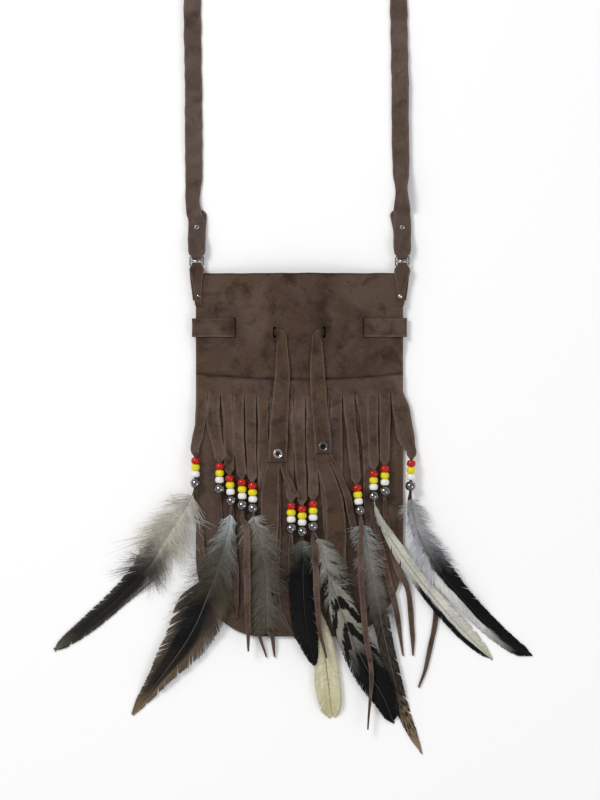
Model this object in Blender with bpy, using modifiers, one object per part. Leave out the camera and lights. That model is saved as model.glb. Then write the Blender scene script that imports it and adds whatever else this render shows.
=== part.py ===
# Medicine bag: a flat suede pouch with a shoulder strap, a drawstring, beaded fringe and feathers.
# It lies on its back. X is its width, +Y points to the mouth, +Z is its front.
# The origin is on the back face, at the middle of the pouch. Sizes are in metres.

import math

import bmesh
import bpy
from mathutils import Matrix, Vector

MM = 0.001
UP = Vector((0, 0, 1))
ALONG_X = Vector((1, 0, 0))
ALONG_Y = Vector((0, 1, 0))

# Clearances
GAP = 0.3 * MM                # between pieces that touch on the real bag
LIE_GAP = 0.5 * MM            # under a soft piece that lies on the arched front
THONG_GAP = 0.45 * MM         # round the drawstring where it hugs the front panel

# Pouch
POUCH_WIDTH = 155.6 * MM
POUCH_HEIGHT = 273 * MM
CORNER_RUN = 49 * MM          # width of each rounded bottom corner
CORNER_RISE = 60 * MM         # height of each rounded bottom corner
SUEDE = 1.4 * MM              # thickness of both pouch panels
SEAM_MARGIN = 7 * MM          # flat sewn edge round the arch
ARCH_INNER = 9.6 * MM         # room inside, at the middle of the pouch
ARCH_RUN = 50 * MM            # width of the slope from the side seam to the middle
BOTTOM_RUN = 62 * MM          # length of the slope from the bottom seam to the middle
PANEL_COLUMNS = 20
PANEL_ROWS = 16
CORNER_ROWS = 7

# Drawstring
THONG_THICK = 1.2 * MM
THONG_BAND = 14 * MM          # width of the thong round the neck
THONG_NECK = 7 * MM           # width of the thong where it comes out to hang
NECK_FROM_MOUTH = 40.9 * MM   # distance of the thong's middle line below the mouth
NECK_DROP = 3.6 * MM          # how far the thong sinks in the inner slit
SLIT_WIDTH = 3.2 * MM
SLIT_MARGIN = 0.75 * MM       # slit beyond the thong's edges, each end
OUTER_SLIT_X = 48.4 * MM
INNER_SLIT_X = 18.6 * MM
DIVE_RUN = 2.4 * MM           # length of the thong's dive through a slit
TURN_RADIUS = 4 * MM          # turn of the thong from across to down
SIDE_REACH = 0.2 * MM         # middle of the side fold beyond the pouch edge
LIFT_MARGIN = 4 * MM          # side seam stays raised this far below the thong
LIFT_RUN = 12 * MM            # length over which the side seam comes down again

# Eyelets and tassels
EYELET_BORE = 1.3 * MM
EYELET_SHANK = 2.0 * MM
EYELET_FLANGE = 3.6 * MM
FLANGE_THICK = 0.45 * MM
TASSEL_THICK = 1.1 * MM
TASSEL_HEAD = 13 * MM
TASSEL_SPLIT = 8 * MM         # cut between a tassel's legs, from its left edge
TASSEL_CURL = 5 * MM
HOLE_CLEARANCE = 0.3 * MM

# Strap, links and tabs
STRAP_WIDTH = 13 * MM
STRAP_THICK = 1.3 * MM
FLOOR_GAP = 0.1 * MM
TAIL_LENGTH = 35 * MM
TAIL_SHIFT = 2.5 * MM
STRAP_RIVET_UP = 22 * MM      # strap rivet above the link's strap bar
LINK_INSET = 0.6 * MM         # middle of each link inside the pouch edge
MOUTH_TO_LINK = 9 * MM        # middle of the link beyond the mouth
LINK_BAR = 1.4 * MM
LINK_THICK = 1.2 * MM
SLOT_LENGTH = 2.1 * MM
SLOT_WIDTH = 8.4 * MM
LINK_CORNER = 0.9 * MM
FOLD_GAP = 0.35 * MM          # between a link bar and the leather folded round it
TAB_THICK = 1.2 * MM
TAB_WIDTH = 10.5 * MM
TAB_NECK = 7.6 * MM           # width of tab and strap in the link's slots
TAB_TAIL = 4.5 * MM
TAB_LENGTH = 30 * MM
TAB_BACK_LENGTH = 26 * MM
TAB_RIVET_DOWN = 23 * MM      # tab rivet below the tab's bar
TAB_RIVET_IN = 1.6 * MM       # tab rivet inward from the tab's middle line
RIVET_SHANK = 0.9 * MM
RIVET_FLANGE = 1.7 * MM
STRAP_RIVET_BORE = 0.7 * MM
STRAP_RIVET_SHANK = 1.2 * MM
STRAP_RIVET_FLANGE = 1.9 * MM

# Fringe
FRINGE_THICK = 1.1 * MM
FRINGE_SIDE = 0.2 * MM        # fringe edge inside the pouch edge
FRINGE_SEAM = 80.2 * MM       # sewn top edge below the mouth, at the middle
SEAM_SIDE_RISE = 4.7 * MM     # the sewn edge is higher at the sides
BAND_DEPTH = 12 * MM          # uncut band under the seam
STRIP_COUNT = 17
STRIP_SLIT = 0.5 * MM         # gap between strips below the band
STRIP_NECK = 2.2 * MM         # strip width inside the beads
STRIP_STEP = 9 * MM           # spacing of the strip's cross lines
BEAD_CLIMB = 7 * MM           # length over which a strip climbs to its beads

# Beads and balls
BEAD_RADIUS = 3.4 * MM
BEAD_FACE = 2.7 * MM          # radius of a bead's flat end
BEAD_BORE = 1.7 * MM
BEAD_LENGTH = 5 * MM
BEADS_IN_STACK = 3
BALL_RADIUS = 4 * MM
BALL_BORE = 2.2 * MM
ROUND_STEPS = 8

# Feathers
FEATHER_THICK = 0.7 * MM
QUILL_WIDTH = 1.4 * MM
QUILL_RISE = 0.75 * MM        # quill above the middle of its ball
FEATHER_STEP = 12 * MM
FEATHER_LAYER = 1.4 * MM      # one feather above another
EDGE_DROP = 20 * MM           # width of the slope beside the pouch edge
EDGE_START = 1.5 * MM

# Levels that follow from the sizes above
MOUTH_Y = POUCH_HEIGHT / 2
BOTTOM_Y = -POUCH_HEIGHT / 2
HALF = POUCH_WIDTH / 2
CORNER_TOP = BOTTOM_Y + CORNER_RISE
BACK_TOP = SUEDE
SEAM_LOW = BACK_TOP + GAP
LINK_Z = BACK_TOP + GAP + FLANGE_THICK + GAP + TAB_THICK + FOLD_GAP + LINK_BAR / 2
SEAM_HIGH = LINK_Z - SUEDE / 2
ARCH_UNDER = BACK_TOP + ARCH_INNER
NECK_Y = MOUTH_Y - NECK_FROM_MOUTH
LIFT_TOP_Y = NECK_Y - THONG_BAND / 2 - LIFT_MARGIN
LIFT_LOW_Y = LIFT_TOP_Y - LIFT_RUN
LINK_Y = MOUTH_Y + MOUTH_TO_LINK
LINK_X = HALF - LINK_INSET
BAR_PITCH = SLOT_LENGTH + LINK_BAR
TAB_BAR_Y = LINK_Y - BAR_PITCH
STRAP_BAR_Y = LINK_Y + BAR_PITCH
TAB_FOLD = LINK_BAR / 2 + FOLD_GAP + TAB_THICK / 2
STRAP_FOLD = LINK_BAR / 2 + FOLD_GAP + STRAP_THICK / 2
FRINGE_TOP = LIE_GAP + FRINGE_THICK
FLANGE_LOW = FRINGE_TOP + GAP
TASSEL_LOW = FLANGE_LOW + FLANGE_THICK + GAP
THONG_END_LOW = TASSEL_LOW + TASSEL_THICK + GAP
FLANGE_HIGH = THONG_END_LOW + THONG_THICK + GAP
BEAD_AXIS = FRINGE_TOP + GAP + BEAD_RADIUS
BALL_AXIS = FRINGE_TOP + GAP + BALL_RADIUS
FEATHER_LOW = TASSEL_LOW + TASSEL_THICK + LIE_GAP
STACK_LENGTH = BEADS_IN_STACK * BEAD_LENGTH


def millimetres(*values):
    return tuple(value * MM for value in values)


# Each fringe strip from left to right: its bead stack (x, top y, lean) or None, and the points
# (x, y, width) that it runs through, above the stack and below it. All in millimetres.
STRIPS = [
    ((-78.0, -1.8, 0.0), [(-74.5, 20, 8)],
     [(-76.1, -49, 5), (-72.4, -79, 5), (-67.9, -109, 4), (-64, -131, 1.5)]),
    ((-59.6, -6.1, -0.5), [(-63, 15, 8)], [(-58.9, -56, 5), (-57.4, -94, 4.5), (-56, -125, 1.5)]),
    ((-52.4, -15.0, 1.5), [(-54, 8, 7)], [(-49.9, -56, 5), (-47.6, -94, 4.5), (-46.1, -122, 1.5)]),
    ((-43.0, -18.1, 0.3), [(-45, 8, 7)],
     [(-39.5, -58, 5), (-39, -109, 5), (-38.6, -132, 3.5), (-37.9, -147, 1.2)]),
    ((-35.2, -20.4, 0.6), [(-36, 8, 7)],
     [(-33, -64, 4.5), (-32, -109, 4.5), (-31, -130, 3.5), (-24.9, -152, 1.2)]),
    (None, [(-27, -10, 7.5), (-26.5, -60, 6)],
     [(-25.1, -109, 5), (-20.6, -136, 3.5), (-18.5, -152, 1.2)]),
    (None, [(-18, -10, 7.5), (-17.6, -60, 6)], [(-17.6, -101, 5), (-11.6, -123, 4), (1.1, -142, 1.2)]),
    ((-6.2, -35.4, 0.0), [(-9, 0, 8), (-8, -20, 7)],
     [(-6.5, -76, 4.5), (-5.6, -98, 4), (-5, -116, 1.5)]),
    ((1.8, -37.7, 0.4), [(0.2, 0, 8), (1, -20, 7)], [(2.6, -78, 4.5), (3.5, -100, 4), (4.5, -129, 1.5)]),
    ((10.2, -34.0, 0.0), [(9.4, 0, 8), (10, -18, 7)],
     [(11.6, -70, 5), (13.1, -101, 4.5), (15, -129, 3.5), (20.6, -152, 1.2)]),
    (None, [(19, -10, 7.5), (21, -50, 6)], [(24, -85, 5), (28, -115, 4), (31, -139, 1.5)]),
    (None, [(28, -10, 7.5), (30, -50, 6)], [(33, -85, 5), (38, -115, 4), (42, -140, 1.5)]),
    ((42.8, -22.2, 2.8), [(38.5, 12, 7.5)],
     [(46.2, -79, 4.5), (48.4, -124, 4.5), (53.6, -164, 3.5), (51.4, -206, 1.2)]),
    (None, [(47.2, 0, 6.5), (50, -30, 5)],
     [(51.8, -55, 5), (54, -77, 5), (58.9, -129, 4), (61.9, -148.5, 1.2)]),
    ((55.5, -11.4, 0.0), [(55, 15, 7.5)],
     [(57.2, -56, 5), (63.4, -79, 5), (72.4, -116, 4.5), (78.4, -151, 1.2)]),
    ((64.0, -7.9, 0.0), [(64, 15, 7.5)],
     [(66, -52, 5), (74, -86, 5), (81, -102, 4.5), (85, -133, 4), (85, -151, 1.2)]),
    ((83.9, -3.9, -0.7), [(80.2, 22, 7.5)],
     [(84.6, -49, 5), (93.4, -79, 5), (102.4, -101, 5), (101.6, -127, 4), (95.6, -157, 3.5), (89.6, -175, 1.2)]),
]

# Each feather: the strip whose ball holds it, its layer, where along it the vane settles to the
# floor (as a share of its length), and its spine (x, y, left width, right width) in millimetres.
FEATHERS = [
    ("feather_1", 0, 0, 0.40, [(-82, -34, 3, 3), (-95.6, -56, 15, 14), (-110.6, -80, 10, 10), (-130.9, -102.8, 8, 7),
                               (-155.6, -125, 6.5, 6), (-184, -146.8, 2.5, 2.5)]),
    ("feather_2", 2, 0, 0.75, [(-51.5, -44, 2.5, 2.5), (-53.6, -58, 9, 8), (-59.6, -78, 15, 15), (-67, -101, 20, 18),
                               (-80.6, -132.8, 16, 14), (-100.9, -162.8, 9, 7), (-125.6, -195.8, 2, 1.5)]),
    ("feather_3", 4, 0, 0.95, [(-33.4, -50, 2.5, 2.5), (-28.5, -71, 7, 8), (-25.5, -101, 8, 8), (-25, -132.8, 2, 2)]),
    ("feather_4", 7, 0, 0.85, [(-4.6, -68, 2, 2), (-1.6, -80, 4, 4), (6.4, -108.8, 6, 6), (16.9, -138.8, 8, 8),
                               (21.4, -168.8, 10, 9), (24.8, -196.5, 4, 4)]),
    ("feather_5", 8, 1, 1.5, [(2.6, -67.5, 7, 7), (2.6, -82, 10, 9), (2.8, -98, 11, 10), (4.9, -127.5, 9, 8),
                               (11.6, -158, 1.5, 1.5)]),
    ("feather_6", 9, 1, 0.85, [(14.4, -65, 2, 4), (23.5, -93.8, 6, 9), (34, -123.8, 11, 13), (49, -157.5, 11, 13),
                               (64, -183.8, 7, 7), (70.9, -202, 1.5, 1.5)]),
    ("feather_7", 12, 0, 0.65, [(47.4, -54, 2.5, 2.5), (50.4, -70, 8, 8), (56.6, -101, 7, 7), (62.6, -131, 6, 6),
                                (69.4, -161, 6, 5.5), (79, -195, 4.5, 4.5), (92.4, -225.5, 1, 1)]),
    ("feather_8", 14, 0, 0.65, [(58.9, -45, 2, 2), (71.6, -67.5, 5, 5), (87.4, -90, 6, 6), (105.4, -112.5, 6.5, 6.5),
                                (124, -132.8, 6, 6), (145, -153.8, 1.5, 1.5)]),
    ("feather_9", 16, 1, 0.55, [(84.4, -37.5, 4, 4), (88.9, -56, 9, 9), (99.4, -78.8, 10, 10), (116.6, -101, 8, 8),
                                (139, -125, 7, 7), (159.4, -142.5, 5, 5), (175.4, -151.3, 1, 1)]),
]

# Hanging ends of the drawstring and their tassels, (x, y, width) in millimetres.
THONG_ENDS = {
    "left": [(-12.9, 60, 10.9), (-14.8, 30, 13), (-16, 7, 14), (-16.4, -5, 13)],
    "right": [(13.5, 60, 11.2), (15.6, 30, 12), (17.4, 11, 12.4), (17.8, 1.5, 11.5)],
}
EYELETS = {"left": (-16.1, 1.2), "right": (17.6, 6.4)}
TASSEL_LEGS = {
    "left": [[(-20.6, -14, 11), (-22, -36, 14), (-22.5, -78, 12)],
             [(-11.0, -13, 5), (-6.5, -22, 5), (-2.5, -31, 4.5)]],
    "right": [[(18.3, -9, 10.5), (25.0, -30, 13), (27, -50, 15), (27.4, -78, 15)],
              [(27.3, -10, 4.5), (35.6, -30, 5.5), (37.8, -42, 5.5), (41.6, -56, 5.5), (53, -77, 5.5)]],
}

# The strap's route beyond the two rivets, (x, y) in millimetres.
STRAP_ROUTE = [(-79.2, 190), (-79.4, 229), (-80, 290), (-80.6, 341), (-81, 450), (-80, 560), (-71, 622), (-44, 672),
               (-3, 690), (38, 672), (66, 622), (74, 560), (74.4, 450), (74.6, 341), (75.4, 290), (76.1, 229),
               (76.8, 190)]


# Surfaces

def smoothstep(share):
    share = max(0.0, min(1.0, share))
    return share * share * (3 - 2 * share)


def half_width(y):
    if y >= CORNER_TOP:
        return HALF
    share = min(1.0, (CORNER_TOP - y) / CORNER_RISE)
    return HALF - CORNER_RUN * (1 - math.sqrt(1 - share * share))


def seam_level(y):
    share = (y - LIFT_LOW_Y) / (LIFT_TOP_Y - LIFT_LOW_Y)
    return SEAM_LOW + (SEAM_HIGH - SEAM_LOW) * smoothstep(share)


def front_under(x, y):
    side = smoothstep((half_width(y) - SEAM_MARGIN - abs(x)) / ARCH_RUN)
    low = smoothstep((y - BOTTOM_Y - SEAM_MARGIN) / BOTTOM_RUN)
    base = seam_level(y)
    return base + (ARCH_UNDER - base) * side * low


def outside(x, y):
    """Distance outside the pouch outline, zero or less inside it."""
    if y >= CORNER_TOP:
        return abs(x) - HALF
    across = abs(x) - (HALF - CORNER_RUN)
    down = CORNER_TOP - y
    if across <= 0:
        return down - CORNER_RISE
    reach = math.hypot(across / CORNER_RUN, down / CORNER_RISE)
    return (reach - 1) * math.hypot(across, down) / reach


def rest_level(x, y):
    """Top of the pouch front, sloping to the floor beside it."""
    beyond = outside(x, y)
    if beyond <= 0:
        return front_under(x, y) + SUEDE
    slope = smoothstep((beyond - EDGE_START) / EDGE_DROP)
    return (seam_level(y) + SUEDE) * (1 - slope)


# Collections, materials and objects

def clear_scene():
    for item in list(bpy.data.objects):
        bpy.data.objects.remove(item, do_unlink=True)


def new_collection(name):
    group = bpy.data.collections.new(name)
    bpy.context.scene.collection.children.link(group)
    return group


def make_material(name, colour, roughness, metallic=0.0):
    material = bpy.data.materials.new(name)
    material.use_nodes = True
    shader = material.node_tree.nodes["Principled BSDF"]
    shader.inputs["Base Color"].default_value = (*colour, 1)
    shader.inputs["Roughness"].default_value = roughness
    shader.inputs["Metallic"].default_value = metallic
    material.diffuse_color = (*colour, 1)
    return material


def add_object(group, name, mesh, material=None):
    item = bpy.data.objects.new(name, mesh)
    group.objects.link(item)
    if material and not mesh.materials:
        mesh.materials.append(material)
    return item


def suede_material(name):
    return make_material(name, (0.088, 0.060, 0.047), 0.95)


def metal_material(name):
    return make_material(name, (0.78, 0.78, 0.80), 0.18, 1.0)


# Modelling helpers

def thicken(item, thickness, offset):
    wall = item.modifiers.new("wall", "SOLIDIFY")
    wall.thickness = thickness
    wall.offset = offset
    wall.use_even_offset = True


def cut_with(item, cutter):
    cut = item.modifiers.new("cut", "BOOLEAN")
    cut.operation = "DIFFERENCE"
    cut.solver = "EXACT"
    cut.object = cutter


def catmull_rom(before, start, end, after, share):
    squared = share * share
    cubed = squared * share
    values = []
    for a, b, c, d in zip(before, start, end, after):
        bend = (2 * a - 5 * b + 4 * c - d) * squared + (3 * b - a - 3 * c + d) * cubed
        values.append(0.5 * (2 * b + (c - a) * share + bend))
    return tuple(values)


def smooth_route(points, step):
    """Points about one step apart on a smooth curve through the given points."""
    route = [points[0]]
    for index in range(len(points) - 1):
        start = points[index]
        end = points[index + 1]
        before = points[index - 1] if index else tuple(2 * s - e for s, e in zip(start, end))
        last = index + 2 >= len(points)
        after = tuple(2 * e - s for s, e in zip(start, end)) if last else points[index + 2]
        count = max(1, round(math.dist(start[:2], end[:2]) / step))
        for number in range(1, count + 1):
            route.append(catmull_rom(before, start, end, after, number / count))
    return route


def sheet_mesh(name, rows):
    """An open sheet through rows of points, each row with the same number of points."""
    sheet = bmesh.new()
    grid = [[sheet.verts.new(point) for point in row] for row in rows]
    for upper, lower in zip(grid, grid[1:]):
        for column in range(len(upper) - 1):
            sheet.faces.new((upper[column], lower[column], lower[column + 1], upper[column + 1]))
    mesh = bpy.data.meshes.new(name)
    sheet.to_mesh(mesh)
    sheet.free()
    return mesh


def ribbon(group, name, stations, thickness, material):
    """A flat thong through stations of (centre, direction across, width)."""
    rows = [(centre - across * width / 2, centre + across * width / 2) for centre, across, width in stations]
    item = add_object(group, name, sheet_mesh(name, rows), material)
    thicken(item, thickness, 0)
    return item


def turned_mesh(name, profile):
    """Outline of a turned piece as (radius, height), down its outer side and up its inner side."""
    outline = bmesh.new()
    corners = [outline.verts.new((radius, 0, height)) for radius, height in profile]
    for first, second in zip(corners, corners[1:]):
        outline.edges.new((first, second))
    if profile[0][0] > 0:
        outline.edges.new((corners[-1], corners[0]))
    mesh = bpy.data.meshes.new(name)
    outline.to_mesh(mesh)
    outline.free()
    return mesh


def turned(group, name, mesh, place, material, steps=ROUND_STEPS):
    item = add_object(group, name, mesh, material)
    item.matrix_world = place
    turn = item.modifiers.new("turn", "SCREW")
    turn.steps = steps
    turn.render_steps = steps
    turn.use_merge_vertices = True
    turn.merge_threshold = 0.00001
    return item


def cutter_object(group, name, mesh):
    item = add_object(group, name, mesh)
    item.hide_render = True
    item.display_type = "WIRE"
    return item


def hole_cutter(group, name, x, y, radius, low, high):
    tool = bmesh.new()
    bmesh.ops.create_cone(tool, cap_ends=True, segments=12, radius1=radius, radius2=radius, depth=high - low)
    mesh = bpy.data.meshes.new(name)
    tool.to_mesh(mesh)
    tool.free()
    item = cutter_object(group, name, mesh)
    item.location = (x, y, (low + high) / 2)
    return item


def box_cutter(group, name, centre, size):
    tool = bmesh.new()
    bmesh.ops.create_cube(tool, size=1)
    bmesh.ops.scale(tool, vec=size, verts=tool.verts)
    mesh = bpy.data.meshes.new(name)
    tool.to_mesh(mesh)
    tool.free()
    item = cutter_object(group, name, mesh)
    item.location = centre
    return item


# Pouch

def pouch_lines():
    """Y of each cross line, closer together round the bottom corners."""
    straight = [MOUTH_Y + (CORNER_TOP - MOUTH_Y) * row / PANEL_ROWS for row in range(PANEL_ROWS)]
    turn = [math.pi / 2 * row / CORNER_ROWS for row in range(CORNER_ROWS + 1)]
    return straight + [CORNER_TOP - CORNER_RISE * math.sin(angle) for angle in turn]


def pouch_rows(level):
    rows = []
    for y in pouch_lines():
        reach = half_width(y)
        row = []
        for column in range(PANEL_COLUMNS + 1):
            x = reach * (2 * column / PANEL_COLUMNS - 1)
            row.append(Vector((x, y, level(x, y))))
        rows.append(row)
    return rows


def make_back_panel(group):
    outline = [Vector((half_width(y), y, 0)) for y in pouch_lines()]
    rows = [(Vector((-point.x, point.y, 0)), point) for point in outline]
    item = add_object(group, "back_panel", sheet_mesh("back_panel", rows), suede_material("back_suede"))
    thicken(item, SUEDE, 1)


def make_front_panel(group, cutters):
    item = add_object(group, "front_panel", sheet_mesh("front_panel", pouch_rows(front_under)),
                      suede_material("front_suede"))
    thicken(item, SUEDE, 1)
    slit = (SLIT_WIDTH, THONG_BAND + 2 * SLIT_MARGIN, 4 * SUEDE + ARCH_INNER)
    for side, sign in (("left", -1), ("right", 1)):
        for place, x in (("outer", OUTER_SLIT_X), ("inner", INNER_SLIT_X)):
            level = front_under(x, NECK_Y)
            cut_with(item, box_cutter(cutters, f"slit_{place}_{side}", (sign * x, NECK_Y, level), slit))
        x = sign * (LINK_X - TAB_RIVET_IN)
        cut_with(item, hole_cutter(cutters, f"front_rivet_hole_{side}", x, TAB_BAR_Y - TAB_RIVET_DOWN,
                                   RIVET_SHANK + HOLE_CLEARANCE, BACK_TOP, LINK_Z + ARCH_INNER))


# Drawstring

def thong_side(sign, route):
    """Half of the drawstring, from the middle of the back to its hanging end."""
    inside = BACK_TOP + GAP + THONG_THICK / 2
    over = SEAM_HIGH + SUEDE + THONG_GAP + THONG_THICK / 2
    above = SUEDE + THONG_GAP + THONG_THICK / 2
    below = -THONG_GAP - THONG_THICK / 2
    stations = []

    def add(x, z, width=THONG_BAND, y=NECK_Y):
        stations.append((Vector((sign * x, y, z)), ALONG_Y, width))

    for x in (0, HALF / 3, HALF * 2 / 3, HALF + SIDE_REACH):
        add(x, inside)
    radius = (over - inside) / 2
    for number in range(1, 8):
        angle = math.pi * number / 8
        add(HALF + SIDE_REACH + radius * math.sin(angle), inside + radius * (1 - math.cos(angle)))
    add(HALF + SIDE_REACH, over)
    start = OUTER_SLIT_X + DIVE_RUN / 2
    for number in range(1, 6):
        x = HALF - SEAM_MARGIN + (start - HALF + SEAM_MARGIN) * number / 5
        add(x, front_under(x, NECK_Y) + above)
    start = OUTER_SLIT_X - DIVE_RUN / 2
    finish = INNER_SLIT_X + DIVE_RUN / 2
    for number in range(5):
        share = number / 4
        x = start + (finish - start) * share
        width = THONG_BAND + (THONG_NECK - THONG_BAND) * smoothstep(share)
        add(x, front_under(x, NECK_Y) + below, width, NECK_Y - NECK_DROP * smoothstep(share))
    x = INNER_SLIT_X - DIVE_RUN / 2
    low_y = NECK_Y - NECK_DROP
    add(x, front_under(x, low_y) + above, THONG_NECK, low_y)
    for number in range(1, 6):
        angle = math.pi / 2 * number / 5
        turn_x = x - GAP - TURN_RADIUS * math.sin(angle)
        turn_y = low_y - TURN_RADIUS * (1 - math.cos(angle))
        centre = Vector((sign * turn_x, turn_y, front_under(turn_x, turn_y) + above))
        across = Vector((-sign * math.sin(angle), math.cos(angle), 0))
        stations.append((centre, across, THONG_NECK))
    hang_x = x - GAP - TURN_RADIUS
    hang_y = low_y - TURN_RADIUS
    points = [(sign * hang_x, hang_y, THONG_NECK)] + [millimetres(*point) for point in route]
    lowest = points[-2][1] + EYELET_FLANGE + 3 * MM
    highest = MOUTH_Y - FRINGE_SEAM + SEAM_SIDE_RISE
    for x, y, width in smooth_route(points, 8 * MM)[1:]:
        over_fringe = SUEDE + FRINGE_TOP + GAP + LIE_GAP + THONG_THICK / 2
        level = above + (over_fringe - above) * smoothstep((hang_y - y) / (hang_y - highest))
        at_eyelet = SUEDE + THONG_END_LOW + THONG_THICK / 2
        level += (at_eyelet - over_fringe) * smoothstep((lowest + 16 * MM - y) / (16 * MM))
        stations.append((Vector((x, y, front_under(x, y) + level)), -sign * ALONG_X, width))
    return stations


def make_drawstring(group, cutters):
    left = thong_side(-1, THONG_ENDS["left"])
    right = thong_side(1, THONG_ENDS["right"])
    item = ribbon(group, "drawstring", list(reversed(left))[:-1] + right, THONG_THICK,
                  suede_material("drawstring_suede"))
    for side, (x, y) in EYELETS.items():
        level = rest_level(x * MM, y * MM)
        cut_with(item, hole_cutter(cutters, f"thong_hole_{side}", x * MM, y * MM, EYELET_SHANK + HOLE_CLEARANCE,
                                   level + FRINGE_TOP, level + FLANGE_HIGH + FLANGE_THICK))


def make_eyelets(group):
    top = FLANGE_HIGH + FLANGE_THICK
    profile = [(EYELET_BORE, top), (EYELET_FLANGE - FLANGE_THICK, top), (EYELET_FLANGE, FLANGE_HIGH),
               (EYELET_SHANK, FLANGE_HIGH), (EYELET_SHANK, FLANGE_LOW + FLANGE_THICK),
               (EYELET_FLANGE, FLANGE_LOW + FLANGE_THICK), (EYELET_FLANGE, FLANGE_LOW), (EYELET_BORE, FLANGE_LOW)]
    mesh = turned_mesh("eyelet", profile)
    for side, (x, y) in EYELETS.items():
        place = Matrix.Translation((x * MM, y * MM, rest_level(x * MM, y * MM)))
        turned(group, f"eyelet_{side}", mesh, place, metal_material("eyelet_metal"), 12)


# Tassels

def tassel_point(x, y, curl=0.0):
    return Vector((x, y, rest_level(x, y) + TASSEL_LOW + curl))


def make_tassel(group, cutters, side):
    eyelet_x, eyelet_y = millimetres(*EYELETS[side])
    sheet = bmesh.new()
    head_top = eyelet_y + TASSEL_HEAD / 2
    head_low = eyelet_y - TASSEL_HEAD / 2
    edge = TASSEL_HEAD / 2
    legs = TASSEL_LEGS[side]
    split = eyelet_x - edge + TASSEL_SPLIT
    top = [sheet.verts.new(tassel_point(x, head_top)) for x in (eyelet_x - edge, split, eyelet_x + edge)]
    low = [sheet.verts.new(tassel_point(x, head_low)) for x in (eyelet_x - edge, split, eyelet_x + edge)]
    for column in (0, 1):
        sheet.faces.new((top[column], low[column], low[column + 1], top[column + 1]))
    ordered = sorted(legs, key=lambda leg: leg[0][0])
    for column, leg in enumerate(ordered):
        last = (low[column], low[column + 1])
        points = [millimetres(*point) for point in leg]
        curls = side == "left" and leg is legs[1]
        route = smooth_route(points, 9 * MM)
        for number, (x, y, width) in enumerate(route):
            curl = TASSEL_CURL * smoothstep(number / (len(route) - 1)) if curls else 0.0
            pair = [sheet.verts.new(tassel_point(x + shift, y, curl)) for shift in (-width / 2, width / 2)]
            sheet.faces.new((last[0], pair[0], pair[1], last[1]))
            last = pair
    mesh = bpy.data.meshes.new(f"tassel_{side}")
    sheet.to_mesh(mesh)
    sheet.free()
    item = add_object(group, f"tassel_{side}", mesh, suede_material("tassel_suede"))
    thicken(item, TASSEL_THICK, 1)
    level = rest_level(eyelet_x, eyelet_y)
    cut_with(item, hole_cutter(cutters, f"tassel_hole_{side}", eyelet_x, eyelet_y, EYELET_SHANK + HOLE_CLEARANCE,
                               level + FRINGE_TOP, level + FLANGE_HIGH + FLANGE_THICK))


# Links, tabs and rivets

def rounded_rectangle(curve, centre_y, width, length, corner):
    spline = curve.splines.new("POLY")
    points = []
    for turn in range(4):
        x_sign = (1, -1, -1, 1)[turn]
        y_sign = (1, 1, -1, -1)[turn]
        for step in range(4):
            angle = math.pi / 2 * (turn + step / 3)
            x = x_sign * (width / 2 - corner) + corner * math.cos(angle)
            y = y_sign * (length / 2 - corner) + corner * math.sin(angle)
            points.append((x, y + centre_y))
    spline.points.add(len(points) - 1)
    for point, (x, y) in zip(spline.points, points):
        point.co = (x, y, 0, 1)
    spline.use_cyclic_u = True


def make_link(group, side, sign):
    curve = bpy.data.curves.new(f"ring_{side}", "CURVE")
    curve.dimensions = "2D"
    curve.fill_mode = "BOTH"
    curve.extrude = LINK_THICK / 2
    length = 2 * BAR_PITCH + LINK_BAR
    rounded_rectangle(curve, 0, SLOT_WIDTH + 2 * LINK_BAR, length, LINK_CORNER + LINK_BAR / 2)
    for slot in (-1, 1):
        rounded_rectangle(curve, slot * BAR_PITCH / 2, SLOT_WIDTH, SLOT_LENGTH, GAP)
    item = bpy.data.objects.new(f"ring_{side}", curve)
    group.objects.link(item)
    curve.materials.append(metal_material("link_metal"))
    hinge = bpy.data.objects.new(f"ring_hinge_{side}", None)
    group.objects.link(hinge)
    hinge.location = (sign * LINK_X, TAB_BAR_Y, LINK_Z)
    item.parent = hinge
    item.location = (0, LINK_Y - TAB_BAR_Y, 0)


def fold_stations(x, bar_y, radius, first, last, steps, width):
    stations = []
    for number in range(steps + 1):
        angle = first + (last - first) * number / steps
        centre = Vector((x, bar_y + radius * math.cos(angle), LINK_Z + radius * math.sin(angle)))
        stations.append((centre, ALONG_X, width))
    return stations


def make_tab(group, cutters, side, sign):
    x = sign * LINK_X
    front = LINK_Z + TAB_FOLD
    back = LINK_Z - TAB_FOLD
    stations = []
    for share, width in ((1, TAB_TAIL), (0.8, TAB_TAIL * 1.5), (0.45, TAB_WIDTH * 0.85), (0.2, TAB_WIDTH)):
        stations.append((Vector((x, TAB_BAR_Y - TAB_LENGTH * share, front)), ALONG_X, width))
    stations += fold_stations(x, TAB_BAR_Y, TAB_FOLD, math.pi / 2, -math.pi / 2, 8, TAB_NECK)
    for share, width in ((0.2, TAB_WIDTH), (0.6, TAB_WIDTH * 0.85), (1, TAB_TAIL * 1.5)):
        stations.append((Vector((x, TAB_BAR_Y - TAB_BACK_LENGTH * share, back)), ALONG_X, width))
    item = ribbon(group, f"tab_{side}", stations, TAB_THICK, suede_material("tab_suede"))
    cut_with(item, hole_cutter(cutters, f"tab_hole_{side}", x - sign * TAB_RIVET_IN, TAB_BAR_Y - TAB_RIVET_DOWN,
                               RIVET_SHANK + HOLE_CLEARANCE, BACK_TOP, front + 2 * TAB_THICK))


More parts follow.
